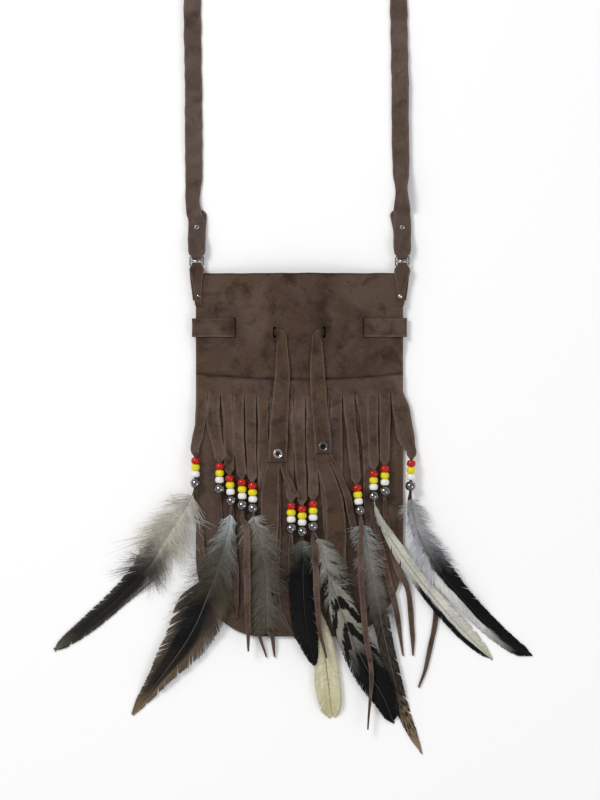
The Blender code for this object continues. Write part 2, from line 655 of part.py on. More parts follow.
def make_tab_rivet(group, side, sign):
    low = BACK_TOP + GAP
    high = LINK_Z + TAB_FOLD + TAB_THICK / 2 + GAP
    profile = [(0, high + FLANGE_THICK), (RIVET_FLANGE * 0.7, high + FLANGE_THICK), (RIVET_FLANGE, high),
               (RIVET_SHANK, high), (RIVET_SHANK, low + FLANGE_THICK), (RIVET_FLANGE, low + FLANGE_THICK),
               (RIVET_FLANGE, low), (0, low)]
    place = Matrix.Translation((sign * (LINK_X - TAB_RIVET_IN), TAB_BAR_Y - TAB_RIVET_DOWN, 0))
    turned(group, f"tab_rivet_{side}", turned_mesh("tab_rivet", profile), place, metal_material("rivet_metal"), 12)


# Strap

def strap_levels():
    """Middle of the looped tail and of the strap over it, at the rivet and beyond."""
    tail = FLOOR_GAP + FLANGE_THICK + GAP + STRAP_THICK / 2
    over = tail + STRAP_THICK + GAP
    return tail, over


def strap_end(sign):
    """One looped end of the strap, from its tail round the link and back along the strap."""
    x = sign * LINK_X
    tail, over = strap_levels()
    low = FLOOR_GAP + STRAP_THICK / 2
    rivet_y = STRAP_BAR_Y + STRAP_RIVET_UP
    end_y = STRAP_BAR_Y + TAIL_LENGTH
    inward = -sign * TAIL_SHIFT
    stations = []
    for y, z, shift, width in ((end_y, low, inward, 0.55), (end_y - 2 * MM, low, inward, 0.92),
                               (rivet_y + 5 * MM, tail, inward * 0.5, 1), (rivet_y - 4 * MM, tail, 0, 1),
                               (STRAP_BAR_Y + 9 * MM, LINK_Z - STRAP_FOLD, 0, 1),
                               (STRAP_BAR_Y + 4.5 * MM, LINK_Z - STRAP_FOLD, 0, 0.9)):
        stations.append((Vector((x + shift, y, z)), ALONG_X, STRAP_WIDTH * width))
    stations += fold_stations(x, STRAP_BAR_Y, STRAP_FOLD, -math.pi / 2, -3 * math.pi / 2, 8, TAB_NECK)
    for y, z, width in ((STRAP_BAR_Y + 4.5 * MM, LINK_Z + STRAP_FOLD, 0.9), (STRAP_BAR_Y + 9 * MM, LINK_Z + STRAP_FOLD, 1),
                        (rivet_y - 4 * MM, over, 1), (rivet_y + 5 * MM, over, 1)):
        stations.append((Vector((x, y, z)), ALONG_X, STRAP_WIDTH * width))
    return stations


def make_strap(group, cutters):
    low = FLOOR_GAP + STRAP_THICK / 2
    over = strap_levels()[1]
    left = strap_end(-1)
    right = [(centre, -across, width) for centre, across, width in reversed(strap_end(1))]
    route = [(left[-1][0].x, left[-1][0].y)] + [millimetres(*point) for point in STRAP_ROUTE]
    route.append((right[0][0].x, right[0][0].y))
    points = smooth_route(route, 16 * MM)
    free_y = STRAP_BAR_Y + TAIL_LENGTH + 2 * MM
    middle = []
    for before, (x, y), after in zip(points, points[1:], points[2:]):
        heading = Vector((after[0] - before[0], after[1] - before[1], 0)).normalized()
        level = low + (over - low) * (1 - smoothstep((y - free_y) / (14 * MM)))
        middle.append((Vector((x, y, level)), heading.cross(UP), STRAP_WIDTH))
    item = ribbon(group, "strap", left + middle + right, STRAP_THICK, suede_material("strap_suede"))
    for side, sign in (("left", -1), ("right", 1)):
        cut_with(item, hole_cutter(cutters, f"strap_hole_{side}", sign * LINK_X, STRAP_BAR_Y + STRAP_RIVET_UP,
                                   STRAP_RIVET_SHANK + HOLE_CLEARANCE, -SUEDE, LINK_Z + 2 * STRAP_FOLD))


def make_strap_rivet(group, side, sign):
    low = FLOOR_GAP
    high = strap_levels()[1] + STRAP_THICK / 2 + GAP
    profile = [(STRAP_RIVET_BORE, high + FLANGE_THICK), (STRAP_RIVET_FLANGE - FLANGE_THICK, high + FLANGE_THICK),
               (STRAP_RIVET_FLANGE, high), (STRAP_RIVET_SHANK, high), (STRAP_RIVET_SHANK, low + FLANGE_THICK),
               (STRAP_RIVET_FLANGE, low + FLANGE_THICK), (STRAP_RIVET_FLANGE, low), (STRAP_RIVET_BORE, low)]
    place = Matrix.Translation((sign * LINK_X, STRAP_BAR_Y + STRAP_RIVET_UP, 0))
    turned(group, f"strap_rivet_{side}", turned_mesh("strap_rivet", profile), place,
           metal_material("strap_rivet_metal"), 12)


# Fringe

def seam_y(x):
    return MOUTH_Y - FRINGE_SEAM + SEAM_SIDE_RISE * (x / HALF) ** 2


def stack_frame(stack):
    """Top and bottom of a bead stack with its ball, and the bead axis level."""
    x, y, lean = millimetres(*stack)
    bottom = Vector((x + lean, y - STACK_LENGTH - GAP - 2 * BALL_RADIUS, 0))
    top = Vector((x, y, 0))
    middle = (top + bottom) / 2
    level = rest_level(middle.x, middle.y) + BEAD_AXIS
    top.z = level
    bottom.z = level
    return top, bottom


def strip_rows(index, stack, above, below):
    """Cross lines of one strip as (x, y, width, underside level or None to lie on the pouch)."""
    pitch = 2 * (HALF - FRINGE_SIDE) / STRIP_COUNT
    start_x = -HALF + FRINGE_SIDE + pitch * (index + 0.5)
    start = (start_x, seam_y(start_x) - BAND_DEPTH, pitch - STRIP_SLIT)
    upper = [start] + [millimetres(*point) for point in above]
    lower = [millimetres(*point) for point in below]
    if stack is None:
        return [(*point, None) for point in smooth_route(upper + lower, STRIP_STEP)[1:]]
    top, bottom = stack_frame(stack)
    along = (bottom - top).normalized()
    foot = top - along * BEAD_CLIMB
    enter = top - along * GAP
    leave = bottom + along * GAP
    land = bottom + along * BEAD_CLIMB
    under = top.z - FRINGE_THICK / 2
    rows = [(*point, None) for point in smooth_route(upper + [(foot.x, foot.y, 5 * MM)], STRIP_STEP)[1:]]
    rows.append((enter.x, enter.y, STRIP_NECK, under))
    rows.append((leave.x, leave.y, STRIP_NECK, under))
    rows += [(*point, None) for point in smooth_route([(land.x, land.y, 3.5 * MM)] + lower, STRIP_STEP)]
    return rows


def strip_sides(rows):
    """Left and right points of each cross line, square to the strip's course."""
    sides = []
    for number, (x, y, width, level) in enumerate(rows):
        before = rows[max(0, number - 1)]
        after = rows[min(len(rows) - 1, number + 1)]
        heading = Vector((after[0] - before[0], after[1] - before[1], 0)).normalized()
        across = UP.cross(heading) * width / 2
        pair = []
        for place in (Vector((x, y, 0)) - across, Vector((x, y, 0)) + across):
            place.z = rest_level(place.x, place.y) + LIE_GAP if level is None else level
            pair.append(place)
        sides.append(pair)
    return sides


def make_fringe(group):
    sheet = bmesh.new()
    pitch = 2 * (HALF - FRINGE_SIDE) / STRIP_COUNT
    edges = [-HALF + FRINGE_SIDE + pitch * number for number in range(STRIP_COUNT + 1)]
    lines = []
    for depth in (0, BAND_DEPTH / 2, BAND_DEPTH):
        line = []
        for x in edges:
            y = seam_y(x) - depth
            line.append(sheet.verts.new((x, y, rest_level(x, y) + LIE_GAP)))
        lines.append(line)
    for upper, lower in zip(lines, lines[1:]):
        for column in range(STRIP_COUNT):
            sheet.faces.new((upper[column], lower[column], lower[column + 1], upper[column + 1]))
    for index, (stack, above, below) in enumerate(STRIPS):
        last = (lines[-1][index], lines[-1][index + 1])
        for left, right in strip_sides(strip_rows(index, stack, above, below)):
            pair = (sheet.verts.new(left), sheet.verts.new(right))
            sheet.faces.new((last[0], pair[0], pair[1], last[1]))
            last = pair
    mesh = bpy.data.meshes.new("fringe_panel")
    sheet.to_mesh(mesh)
    sheet.free()
    item = add_object(group, "fringe_panel", mesh, suede_material("fringe_suede"))
    thicken(item, FRINGE_THICK, 1)


# Beads and balls

def bead_profile():
    profile = [(BEAD_BORE, 0)]
    for bead in range(BEADS_IN_STACK):
        top = -bead * BEAD_LENGTH
        round_edge = BEAD_LENGTH / 4
        profile += [(BEAD_FACE, top), (BEAD_RADIUS, top - round_edge), (BEAD_RADIUS, top - BEAD_LENGTH + round_edge)]
    profile += [(BEAD_FACE, -STACK_LENGTH), (BEAD_BORE, -STACK_LENGTH)]
    return profile


def ball_profile():
    first = math.asin(BALL_BORE / BALL_RADIUS)
    profile = []
    for number in range(7):
        angle = first + (math.pi - 2 * first) * number / 6
        profile.append((BALL_RADIUS * math.sin(angle), BALL_RADIUS * math.cos(angle)))
    return profile


def axis_place(centre, along):
    turn = (-along).to_track_quat("Z", "Y").to_matrix().to_4x4()
    return Matrix.Translation(centre) @ turn


def ball_centre(stack):
    top, bottom = stack_frame(stack)
    along = (bottom - top).normalized()
    centre = top + along * (STACK_LENGTH + GAP + BALL_RADIUS)
    centre.z += BALL_AXIS - BEAD_AXIS
    return centre


def make_beads(group):
    bead_mesh = turned_mesh("bead_stack", bead_profile())
    ball_mesh = turned_mesh("ball", ball_profile())
    bead_material = make_material("bead_gloss", (0.85, 0.65, 0.05), 0.2)
    ball_material = metal_material("ball_metal")
    stacks = [stack for stack, above, below in STRIPS if stack]
    for number, stack in enumerate(stacks, start=1):
        top, bottom = stack_frame(stack)
        along = (bottom - top).normalized()
        turned(group, f"bead_stack_{number}", bead_mesh, axis_place(top, along), bead_material)
        turned(group, f"ball_{number}", ball_mesh, axis_place(ball_centre(stack), along), ball_material)


# Feathers

def make_feather(group, name, strip, layer, settle, spine, material):
    stack = STRIPS[strip][0]
    top, bottom = stack_frame(stack)
    centre = ball_centre(stack)
    along = (bottom - top).normalized()
    quill = centre.z + QUILL_RISE - FEATHER_THICK / 2
    out = centre + along * (BALL_RADIUS + GAP)
    half_quill = QUILL_WIDTH / 2
    points = [millimetres(*point) for point in spine]
    route = smooth_route([(out.x, out.y, half_quill, half_quill)] + points, FEATHER_STEP)
    length = sum(math.dist(a[:2], b[:2]) for a, b in zip(route, route[1:]))
    rows = []
    for place in (centre, out):
        across = Vector((half_quill, 0, 0))
        level = Vector((place.x, place.y, quill))
        rows.append([level - across, level - across / 2, level, level + across / 2, level + across])
    travelled = 0
    for before, (x, y, left, right), after in zip(route, route[1:], route[2:] + route[-1:]):
        travelled += math.dist(before[:2], (x, y))
        heading = Vector((after[0] - before[0], after[1] - before[1], 0)).normalized()
        across = UP.cross(heading)
        lie = FEATHER_LOW + layer * FEATHER_LAYER
        share = travelled / length
        lie += (LIE_GAP - lie) * smoothstep((share - settle) / 0.15)
        held = 1 - smoothstep(travelled / (12 * MM))
        row = []
        for reach in (-left, -left / 2, 0, right / 2, right):
            place = Vector((x, y, 0)) + across * reach
            laid = rest_level(place.x, place.y) + lie
            place.z = laid + (quill - laid) * held
            row.append(place)
        rows.append(row)
    item = add_object(group, name, sheet_mesh(name, rows), material)
    thicken(item, FEATHER_THICK, 1)


def make_feathers(group):
    for name, strip, layer, settle, spine in FEATHERS:
        make_feather(group, name, strip, layer, settle, spine, make_material(f"{name}_vane", (0.18, 0.16, 0.14), 0.8))


def main():
    clear_scene()
    bag = new_collection("medicine_bag")
    cutters = new_collection("cutters")
    make_back_panel(bag)
    make_front_panel(bag, cutters)
    make_fringe(bag)
    make_drawstring(bag, cutters)
    make_eyelets(bag)
    make_strap(bag, cutters)
    for side, sign in (("left", -1), ("right", 1)):
        make_tassel(bag, cutters, side)
        make_link(bag, side, sign)
        make_tab(bag, cutters, side, sign)
        make_tab_rivet(bag, side, sign)
        make_strap_rivet(bag, side, sign)
    make_beads(bag)
    make_feathers(bag)


main()
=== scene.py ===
# %% [markdown]
# # A fringed suede medicine bag
# A flat pouch of brown suede lies on its back. A thong draws its neck together, a cut fringe is sewn
# across its front, and the fringe carries glass beads, silver balls and rooster feathers. This lesson
# dresses the plain solids of the bag, one kind of piece after another.

# %% Load the frame
import math
import random

import bmesh
import bpy
from mathutils import Matrix, Vector, noise


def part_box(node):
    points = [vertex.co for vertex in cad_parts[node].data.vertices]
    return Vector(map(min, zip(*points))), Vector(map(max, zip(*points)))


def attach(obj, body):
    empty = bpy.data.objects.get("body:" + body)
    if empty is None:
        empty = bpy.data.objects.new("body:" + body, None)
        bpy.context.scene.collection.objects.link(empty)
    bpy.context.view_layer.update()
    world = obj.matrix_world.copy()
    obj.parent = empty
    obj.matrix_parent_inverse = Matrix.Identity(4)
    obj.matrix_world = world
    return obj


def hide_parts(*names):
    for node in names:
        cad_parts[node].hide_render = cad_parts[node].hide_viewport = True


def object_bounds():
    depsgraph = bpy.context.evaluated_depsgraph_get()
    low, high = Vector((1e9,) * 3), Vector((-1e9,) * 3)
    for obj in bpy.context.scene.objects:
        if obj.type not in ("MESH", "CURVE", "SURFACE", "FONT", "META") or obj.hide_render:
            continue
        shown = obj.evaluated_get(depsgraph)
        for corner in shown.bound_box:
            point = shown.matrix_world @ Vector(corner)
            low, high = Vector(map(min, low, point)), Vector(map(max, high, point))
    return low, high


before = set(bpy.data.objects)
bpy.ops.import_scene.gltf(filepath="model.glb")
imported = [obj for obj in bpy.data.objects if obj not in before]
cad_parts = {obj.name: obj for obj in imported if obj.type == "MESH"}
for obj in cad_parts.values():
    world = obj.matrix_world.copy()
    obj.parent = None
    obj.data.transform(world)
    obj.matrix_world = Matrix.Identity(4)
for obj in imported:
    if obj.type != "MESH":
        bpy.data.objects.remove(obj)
cad_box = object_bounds()
MM = 0.001
UP = Vector((0, 0, 1))
ALONG_X = Vector((1, 0, 0))
ALONG_Y = Vector((0, 1, 0))
print("nodes in the frame:", len(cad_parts))

# %% [markdown]
# The pouch's outline gives most places. Its width, height and thickness are read from the frame, and
# the few shapes that a box can't tell, such as the rounded corners and the arch of the front, are
# written down once here.

# %% Sizes of the pouch
back_low, back_high = (Vector(corner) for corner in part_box("back_panel"))
HALF = back_high.x
MOUTH_Y = back_high.y
BOTTOM_Y = back_low.y
SUEDE = back_high.z - back_low.z
GAP = 0.3 * MM
LIE_GAP = 0.5 * MM
THONG_GAP = 0.45 * MM
CORNER_RUN = 49 * MM
CORNER_RISE = 60 * MM
CORNER_TOP = BOTTOM_Y + CORNER_RISE
SEAM_MARGIN = 7 * MM
ARCH_RUN = 50 * MM
BOTTOM_RUN = 62 * MM
ARCH_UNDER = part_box("front_panel")[1][2] - SUEDE
LINK_Z = (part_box("ring_left")[0][2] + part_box("ring_left")[1][2]) / 2
SEAM_LOW = SUEDE + GAP
SEAM_HIGH = LINK_Z - SUEDE / 2
THONG_BAND = 14 * MM
NECK_Y = MOUTH_Y - 40.9 * MM
LIFT_TOP_Y = NECK_Y - THONG_BAND / 2 - 4 * MM
LIFT_LOW_Y = LIFT_TOP_Y - 12 * MM
EDGE_START = 1.5 * MM
EDGE_DROP = 20 * MM
print("pouch", round(2 * HALF / MM, 1), "x", round((MOUTH_Y - BOTTOM_Y) / MM, 1), "mm")


def smoothstep(share):
    share = max(0.0, min(1.0, share))
    return share * share * (3 - 2 * share)


def bell(offset, spread):
    """One where there is no offset, and less and less away from it."""
    return math.exp(-(offset / spread) ** 2)


def half_width(y):
    if y >= CORNER_TOP:
        return HALF
    share = min(1.0, (CORNER_TOP - y) / CORNER_RISE)
    return HALF - CORNER_RUN * (1 - math.sqrt(1 - share * share))


def seam_level(y):
    share = (y - LIFT_LOW_Y) / (LIFT_TOP_Y - LIFT_LOW_Y)
    return SEAM_LOW + (SEAM_HIGH - SEAM_LOW) * smoothstep(share)


def front_under(x, y):
    side = smoothstep((half_width(y) - SEAM_MARGIN - abs(x)) / ARCH_RUN)
    low = smoothstep((y - BOTTOM_Y - SEAM_MARGIN) / BOTTOM_RUN)
    base = seam_level(y)
    return base + (ARCH_UNDER - base) * side * low


def outside(x, y):
    if y >= CORNER_TOP:
        return abs(x) - HALF
    across = abs(x) - (HALF - CORNER_RUN)
    down = CORNER_TOP - y
    if across <= 0:
        return down - CORNER_RISE
    reach = math.hypot(across / CORNER_RUN, down / CORNER_RISE)
    return (reach - 1) * math.hypot(across, down) / reach


def rest_level(x, y):
    beyond = outside(x, y)
    if beyond <= 0:
        return front_under(x, y) + SUEDE
    slope = smoothstep((beyond - EDGE_START) / EDGE_DROP)
    return (seam_level(y) + SUEDE) * (1 - slope)


# %% [markdown]
# Soft pieces are easiest to shape as a flat grid that is then laid where it belongs. A smooth curve
# through a few points gives each thong its course, and one helper reads that curve at any share of
# its length.

# %% Curves and grids
def ripple(x, y, size, seed=0.0):
    return noise.noise(Vector((x / size, y / size, seed)))


def catmull_rom(before, start, end, after, share):
    squared = share * share
    cubed = squared * share
    values = []
    for a, b, c, d in zip(before, start, end, after):
        bend = (2 * a - 5 * b + 4 * c - d) * squared + (3 * b - a - 3 * c + d) * cubed
        values.append(0.5 * (2 * b + (c - a) * share + bend))
    return tuple(values)


def smooth_route(points, step, flat=True):
    """Points about one step apart on a smooth curve through the given points."""
    route = [tuple(points[0])]
    for index in range(len(points) - 1):
        start = points[index]
        end = points[index + 1]
        before = points[index - 1] if index else tuple(2 * s - e for s, e in zip(start, end))
        last = index + 2 >= len(points)
        after = tuple(2 * e - s for s, e in zip(start, end)) if last else points[index + 2]
        reach = 2 if flat else 3
        count = max(1, round(math.dist(start[:reach], end[:reach]) / step))
        for number in range(1, count + 1):
            route.append(catmull_rom(before, start, end, after, number / count))
    return route


def object_from(name, sheet, material, body="root"):
    mesh = bpy.data.meshes.new(name)
    sheet.to_mesh(mesh)
    sheet.free()
    item = bpy.data.objects.new(name, mesh)
    bpy.context.scene.collection.objects.link(item)
    mesh.materials.append(material)
    mesh.shade_smooth()
    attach(item, body)
    return item


def thicken(item, thickness, offset, round_edge=0.0):
    wall = item.modifiers.new("wall", "SOLIDIFY")
    wall.thickness = thickness
    wall.offset = offset
    wall.use_even_offset = True
    if round_edge:
        edge = item.modifiers.new("edge", "BEVEL")
        edge.width = round_edge
        edge.segments = 2
        edge.limit_method = "ANGLE"
        edge.angle_limit = math.radians(50)


def pierce(item, holes, low, high, folded=False):
    """Round holes (x, y, radius) through a piece, with its modifiers made real."""
    for x, y, radius in holes:
        tool = bmesh.new()
        place = Matrix.Translation((x, y, (low + high) / 2))
        bmesh.ops.create_cone(tool, cap_ends=True, segments=24, radius1=radius, radius2=radius,
                              depth=high - low, matrix=place)
        mesh = bpy.data.meshes.new("punch")
        tool.to_mesh(mesh)
        tool.free()
        punch = bpy.data.objects.new("punch", mesh)
        bpy.context.scene.collection.objects.link(punch)
        cut = item.modifiers.new("hole", "BOOLEAN")
        cut.operation = "DIFFERENCE"
        cut.object = punch
        cut.use_self = folded
        bpy.context.view_layer.update()
        real = item.evaluated_get(bpy.context.evaluated_depsgraph_get())
        finished = bpy.data.meshes.new_from_object(real)
        item.modifiers.clear()
        item.data = finished
        bpy.data.objects.remove(punch, do_unlink=True)


# %% [markdown]
# The camera looks straight down on the lying bag, as the photograph looks at it face on. A long lens
# far above keeps the edges square. The lamps are large and soft, so that suede shows its nap and the
# fringe throws only a faint shadow.

# %% Camera, floor and light
PIXEL = 0.75 * MM
IMAGE_HEIGHT = 800
VIEW_X = 0.4 * MM
VIEW_Y = 41.25 * MM
VIEW_DISTANCE = 2.6
SUBJECT_LEVEL = 8 * MM
ROOM_IN_METAL = 0.27


def make_camera():
    lens = bpy.data.cameras.new("camera")
    lens.sensor_fit = "VERTICAL"
    lens.angle = 2 * math.atan(IMAGE_HEIGHT * PIXEL / 2 / VIEW_DISTANCE)
    lens.clip_end = 20
    item = bpy.data.objects.new("camera", lens)
    item.location = (VIEW_X, VIEW_Y, VIEW_DISTANCE + SUBJECT_LEVEL)
    bpy.context.scene.collection.objects.link(item)
    bpy.context.scene.camera = item


def make_lamp(name, place, size, power, colour=(1, 1, 1)):
    lamp = bpy.data.lights.new(name, "AREA")
    lamp.size = size
    lamp.energy = power
    lamp.color = colour
    item = bpy.data.objects.new(name, lamp)
    item.location = place
    aim = Vector((0, 0.02, 0)) - Vector(place)
    item.rotation_euler = aim.to_track_quat("-Z", "Y").to_euler()
    bpy.context.scene.collection.objects.link(item)


def make_world(strength):
    world = bpy.data.worlds.new("studio")
    bpy.context.scene.world = world
    world.use_nodes = True
    tree = world.node_tree
    background = tree.nodes["Background"]
    background.inputs["Color"].default_value = (1, 1, 1, 1)
    rays = tree.nodes.new("ShaderNodeLightPath")
    mirrored = tree.nodes.new("ShaderNodeMapRange")
    mirrored.inputs["To Min"].default_value = strength
    mirrored.inputs["To Max"].default_value = ROOM_IN_METAL
    tree.links.new(rays.outputs["Is Glossy Ray"], mirrored.inputs["Value"])
    level = tree.nodes.new("ShaderNodeMapRange")
    level.inputs["To Max"].default_value = 1
    tree.links.new(rays.outputs["Is Camera Ray"], level.inputs["Value"])
    tree.links.new(mirrored.outputs[0], level.inputs["To Min"])
    tree.links.new(level.outputs[0], background.inputs["Strength"])


def make_floor():
    material = bpy.data.materials.new("floor")
    material.use_nodes = True
    shader = material.node_tree.nodes["Principled BSDF"]
    shader.inputs["Base Color"].default_value = (0.975, 0.975, 0.98, 1)
    shader.inputs["Roughness"].default_value = 0.9
    shader.inputs["Specular IOR Level"].default_value = 0.1
    sheet = bmesh.new()
    bmesh.ops.create_grid(sheet, x_segments=2, y_segments=2, size=3)
    mesh = bpy.data.meshes.new("floor")
    sheet.to_mesh(mesh)
    sheet.free()
    item = bpy.data.objects.new("floor", mesh)
    item.location.z = cad_box[0][2] - 0.2 * MM
    mesh.materials.append(material)
    bpy.context.scene.collection.objects.link(item)


make_camera()
make_world(0.60)
make_lamp("key", (-1.1, 1.0, 1.8), 0.7, 24, (1.0, 0.985, 0.96))
make_lamp("fill", (1.5, -0.8, 1.8), 1.0, 8, (0.95, 0.97, 1.0))
make_floor()
bpy.context.scene.view_settings.view_transform = "Standard"
print("camera, two lamps and floor are in place")

# %% [markdown]
# ## Suede
# Suede is the napped inner side of a hide. It has no shine. Its colour wanders in broad soft patches,
# where the nap lies one way or the other, and its cut edges rub pale. One node group makes the nap, and
# every suede piece places it with its own values.

# %% A small helper for nodes, and the suede group
def add_node(tree, kind, **settings):
    node = tree.nodes.new(kind)
    for name, value in settings.items():
        setattr(node, name, value)
    return node


def give(tree, socket, value):
    """Link what another node puts out, or set a plain value."""
    if hasattr(value, "is_linked"):
        tree.links.new(value, socket)
    else:
        socket.default_value = value


def feed(tree, node, **inputs):
    """Link or set a node's inputs by name, with spaces written as underscores."""
    for name, value in inputs.items():
        give(tree, node.inputs[name.replace("_", " ")], value)
    return node


def mix_colour(tree, factor, first, second, blend="MIX"):
    node = add_node(tree, "ShaderNodeMix", data_type="RGBA", blend_type=blend)
    for index, value in ((0, factor), (6, first), (7, second)):
        give(tree, node.inputs[index], value)
    return node.outputs[2]


def map_range(tree, value, low, high, to_low=0.0, to_high=1.0, smooth=False):
    node = add_node(tree, "ShaderNodeMapRange")
    if smooth:
        node.interpolation_type = "SMOOTHSTEP"
    tree.links.new(value, node.inputs["Value"])
    for name, number in (("From Min", low), ("From Max", high), ("To Min", to_low), ("To Max", to_high)):
        node.inputs[name].default_value = number
    return node.outputs[0]


def math_node(tree, operation, first, second=0.0):
    node = add_node(tree, "ShaderNodeMath", operation=operation)
    for socket, value in zip(node.inputs, (first, second)):
        give(tree, socket, value)
    return node.outputs[0]


def noise_value(tree, vector, scale, detail=3.0, rough=0.55, distortion=0.0):
    node = add_node(tree, "ShaderNodeTexNoise")
    feed(tree, node, Vector=vector, Scale=scale, Detail=detail, Roughness=rough, Distortion=distortion)
    return node.outputs["Fac"]


def new_group(name, inputs, outputs):
    group = bpy.data.node_groups.new(name, "ShaderNodeTree")
    for label, kind, value in inputs:
        socket = group.interface.new_socket(label, in_out="INPUT", socket_type=kind)
        if value is not None:
            socket.default_value = value
    for label, kind in outputs:
        group.interface.new_socket(label, in_out="OUTPUT", socket_type=kind)
    return group, group.nodes.new("NodeGroupInput"), group.nodes.new("NodeGroupOutput")


# Near-black of real stains and of painted shade lines on the suede.
STAIN_AND_SHADE_DARK = (0.012, 0.008, 0.006, 1)


def make_suede_group():
    colour = "NodeSocketColor"
    number = "NodeSocketFloat"
    group, given, result = new_group(
        "suede_nap",
        [("Vector", "NodeSocketVector", None), ("Base", colour, None), ("Pale", colour, None),
         ("Deep", colour, None), ("Worn", colour, None), ("Warm", colour, None), ("Rim", number, 0.0),
         ("Rub", number, 0.5), ("Soil", number, 0.0)],
        [("Color", colour), ("Roughness", number), ("Height", number)])
    vector = given.outputs["Vector"]
    broad = noise_value(group, vector, 26, 3, 0.6, 0.6)
    patch = noise_value(group, vector, 75, 4, 0.6, 0.4)
    brush = noise_value(group, vector, 260, 4, 0.65, 0.8)
    nap = noise_value(group, vector, 1500, 3, 0.7)
    warmth = noise_value(group, vector, 19, 3, 0.55, 1.1)
    tone = given.outputs["Base"]
    for value, low, high, most, other in (
            (broad, 0.42, 0.62, 1.0, "Pale"), (warmth, 0.46, 0.66, 0.85, "Warm"),
            (patch, 0.50, 0.68, 0.85, "Deep"), (brush, 0.50, 0.74, 0.45, "Pale")):
        cover = map_range(group, value, low, high, 0, most)
        tone = mix_colour(group, cover, tone, given.outputs[other])
    shade = map_range(group, nap, 0.3, 0.7, 0.70, 1.28)
    tone = mix_colour(group, 1.0, tone, shade, "MULTIPLY")
    rub = map_range(group, brush, 0.30, 0.62, 0.35, 1.0)
    rim = math_node(group, "MULTIPLY", given.outputs["Rim"], rub)
    worn = math_node(group, "MULTIPLY", rim, given.outputs["Rub"])
    tone = mix_colour(group, worn, tone, given.outputs["Worn"])
    # One near-black colour darkens the suede for real stains and for painted shade lines along the fringe's
    # seam and the mouth's edge.
    spread = map_range(group, patch, 0.30, 0.62, 0.55, 1.0)
    stain_and_shade = math_node(group, "MULTIPLY", given.outputs["Soil"], spread)
    tone = mix_colour(group, stain_and_shade, tone, STAIN_AND_SHADE_DARK)
    relief = math_node(group, "ADD", math_node(group, "MULTIPLY", nap, 0.35),
                       math_node(group, "MULTIPLY", brush, 0.9))
    relief = math_node(group, "ADD", relief, math_node(group, "MULTIPLY", patch, 1.2))
    feed(group, result, Color=tone, Roughness=map_range(group, brush, 0.3, 0.7, 0.88, 1.0), Height=relief)
    return group


SUEDE_GROUP = make_suede_group()


def shader_of(name):
    material = bpy.data.materials.new(name)
    material.use_nodes = True
    return material, material.node_tree, material.node_tree.nodes["Principled BSDF"]


def bump(tree, shader, height, distance, strength=0.5):
    node = add_node(tree, "ShaderNodeBump")
    feed(tree, node, Height=height, Distance=distance, Strength=strength)
    tree.links.new(node.outputs["Normal"], shader.inputs["Normal"])


def suede(name, base, pale, deep, worn, warm, rub, turn=0.0):
    """Suede of one piece. Turn starts the pattern at another place on the hide."""
    material, tree, shader = shader_of(name)
    place = add_node(tree, "ShaderNodeTexCoord")
    shift = add_node(tree, "ShaderNodeMapping")
    shift.inputs["Location"].default_value = (turn, turn * 0.7, turn * 0.3)
    tree.links.new(place.outputs["Object"], shift.inputs["Vector"])
    rim = add_node(tree, "ShaderNodeAttribute", attribute_name="rim")
    # This attribute holds real stains together with painted shade lines along the fringe's seam and the
    # mouth's edge.
    stain_and_shade = add_node(tree, "ShaderNodeAttribute", attribute_name="stain_and_shade")
    nap = add_node(tree, "ShaderNodeGroup", node_tree=SUEDE_GROUP)
    feed(tree, nap, Vector=shift.outputs["Vector"], Base=(*base, 1), Pale=(*pale, 1), Deep=(*deep, 1),
         Worn=(*worn, 1), Warm=(*warm, 1), Rim=rim.outputs["Fac"], Rub=rub, Soil=stain_and_shade.outputs["Fac"])
    bump(tree, shader, nap.outputs["Height"], 0.35 * MM, 0.55)
    feed(tree, shader, Base_Color=nap.outputs["Color"], Roughness=nap.outputs["Roughness"],
         Specular_IOR_Level=0.08, Sheen_Weight=0.05, Sheen_Roughness=0.6, Sheen_Tint=(0.75, 0.62, 0.52, 1))
    return material


BROWN = (0.062, 0.038, 0.0285)
BROWN_PALE = (0.094, 0.063, 0.049)
BROWN_DEEP = (0.034, 0.020, 0.014)
BROWN_WARM = (0.080, 0.050, 0.030)
BROWN_WORN = (0.200, 0.150, 0.118)
FRINGE_BROWN = (0.077, 0.049, 0.040)
FRINGE_PALE = (0.122, 0.084, 0.069)
FRINGE_WORN = (0.215, 0.165, 0.132)
STRAP_BROWN = (0.083, 0.057, 0.046)
STRAP_PALE = (0.122, 0.090, 0.075)
STRAP_DEEP = (0.055, 0.037, 0.029)
pouch_suede = suede("pouch_suede", BROWN, BROWN_PALE, BROWN_DEEP, BROWN_WORN, BROWN_WARM, 0.5)
back_suede = suede("back_suede", BROWN, BROWN_PALE, BROWN_DEEP, BROWN_WORN, BROWN_WARM, 0.5, 0.31)
fringe_suede = suede("fringe_suede", FRINGE_BROWN, FRINGE_PALE, BROWN_DEEP, FRINGE_WORN, BROWN_WARM,
                     0.36, 0.57)
thong_suede = suede("thong_suede", BROWN, BROWN_PALE, BROWN_DEEP, BROWN_WORN, BROWN_WARM, 0.5, 0.83)
strap_suede = suede("strap_suede", STRAP_BROWN, STRAP_PALE, STRAP_DEEP, BROWN_WORN, STRAP_BROWN, 0.5, 1.21)
print("five suede finishes share one nap")

# %% [markdown]
# ## The pouch
# Two panels make the pouch, and they are sewn along the sides and the rounded bottom. The back lies
# flat. The front arches over what it holds and is open at the mouth, where the edge waves a little.
# A grid is laid to the arch, its squares inside the four slits are taken out, and Solidify gives the
# hide its thickness.

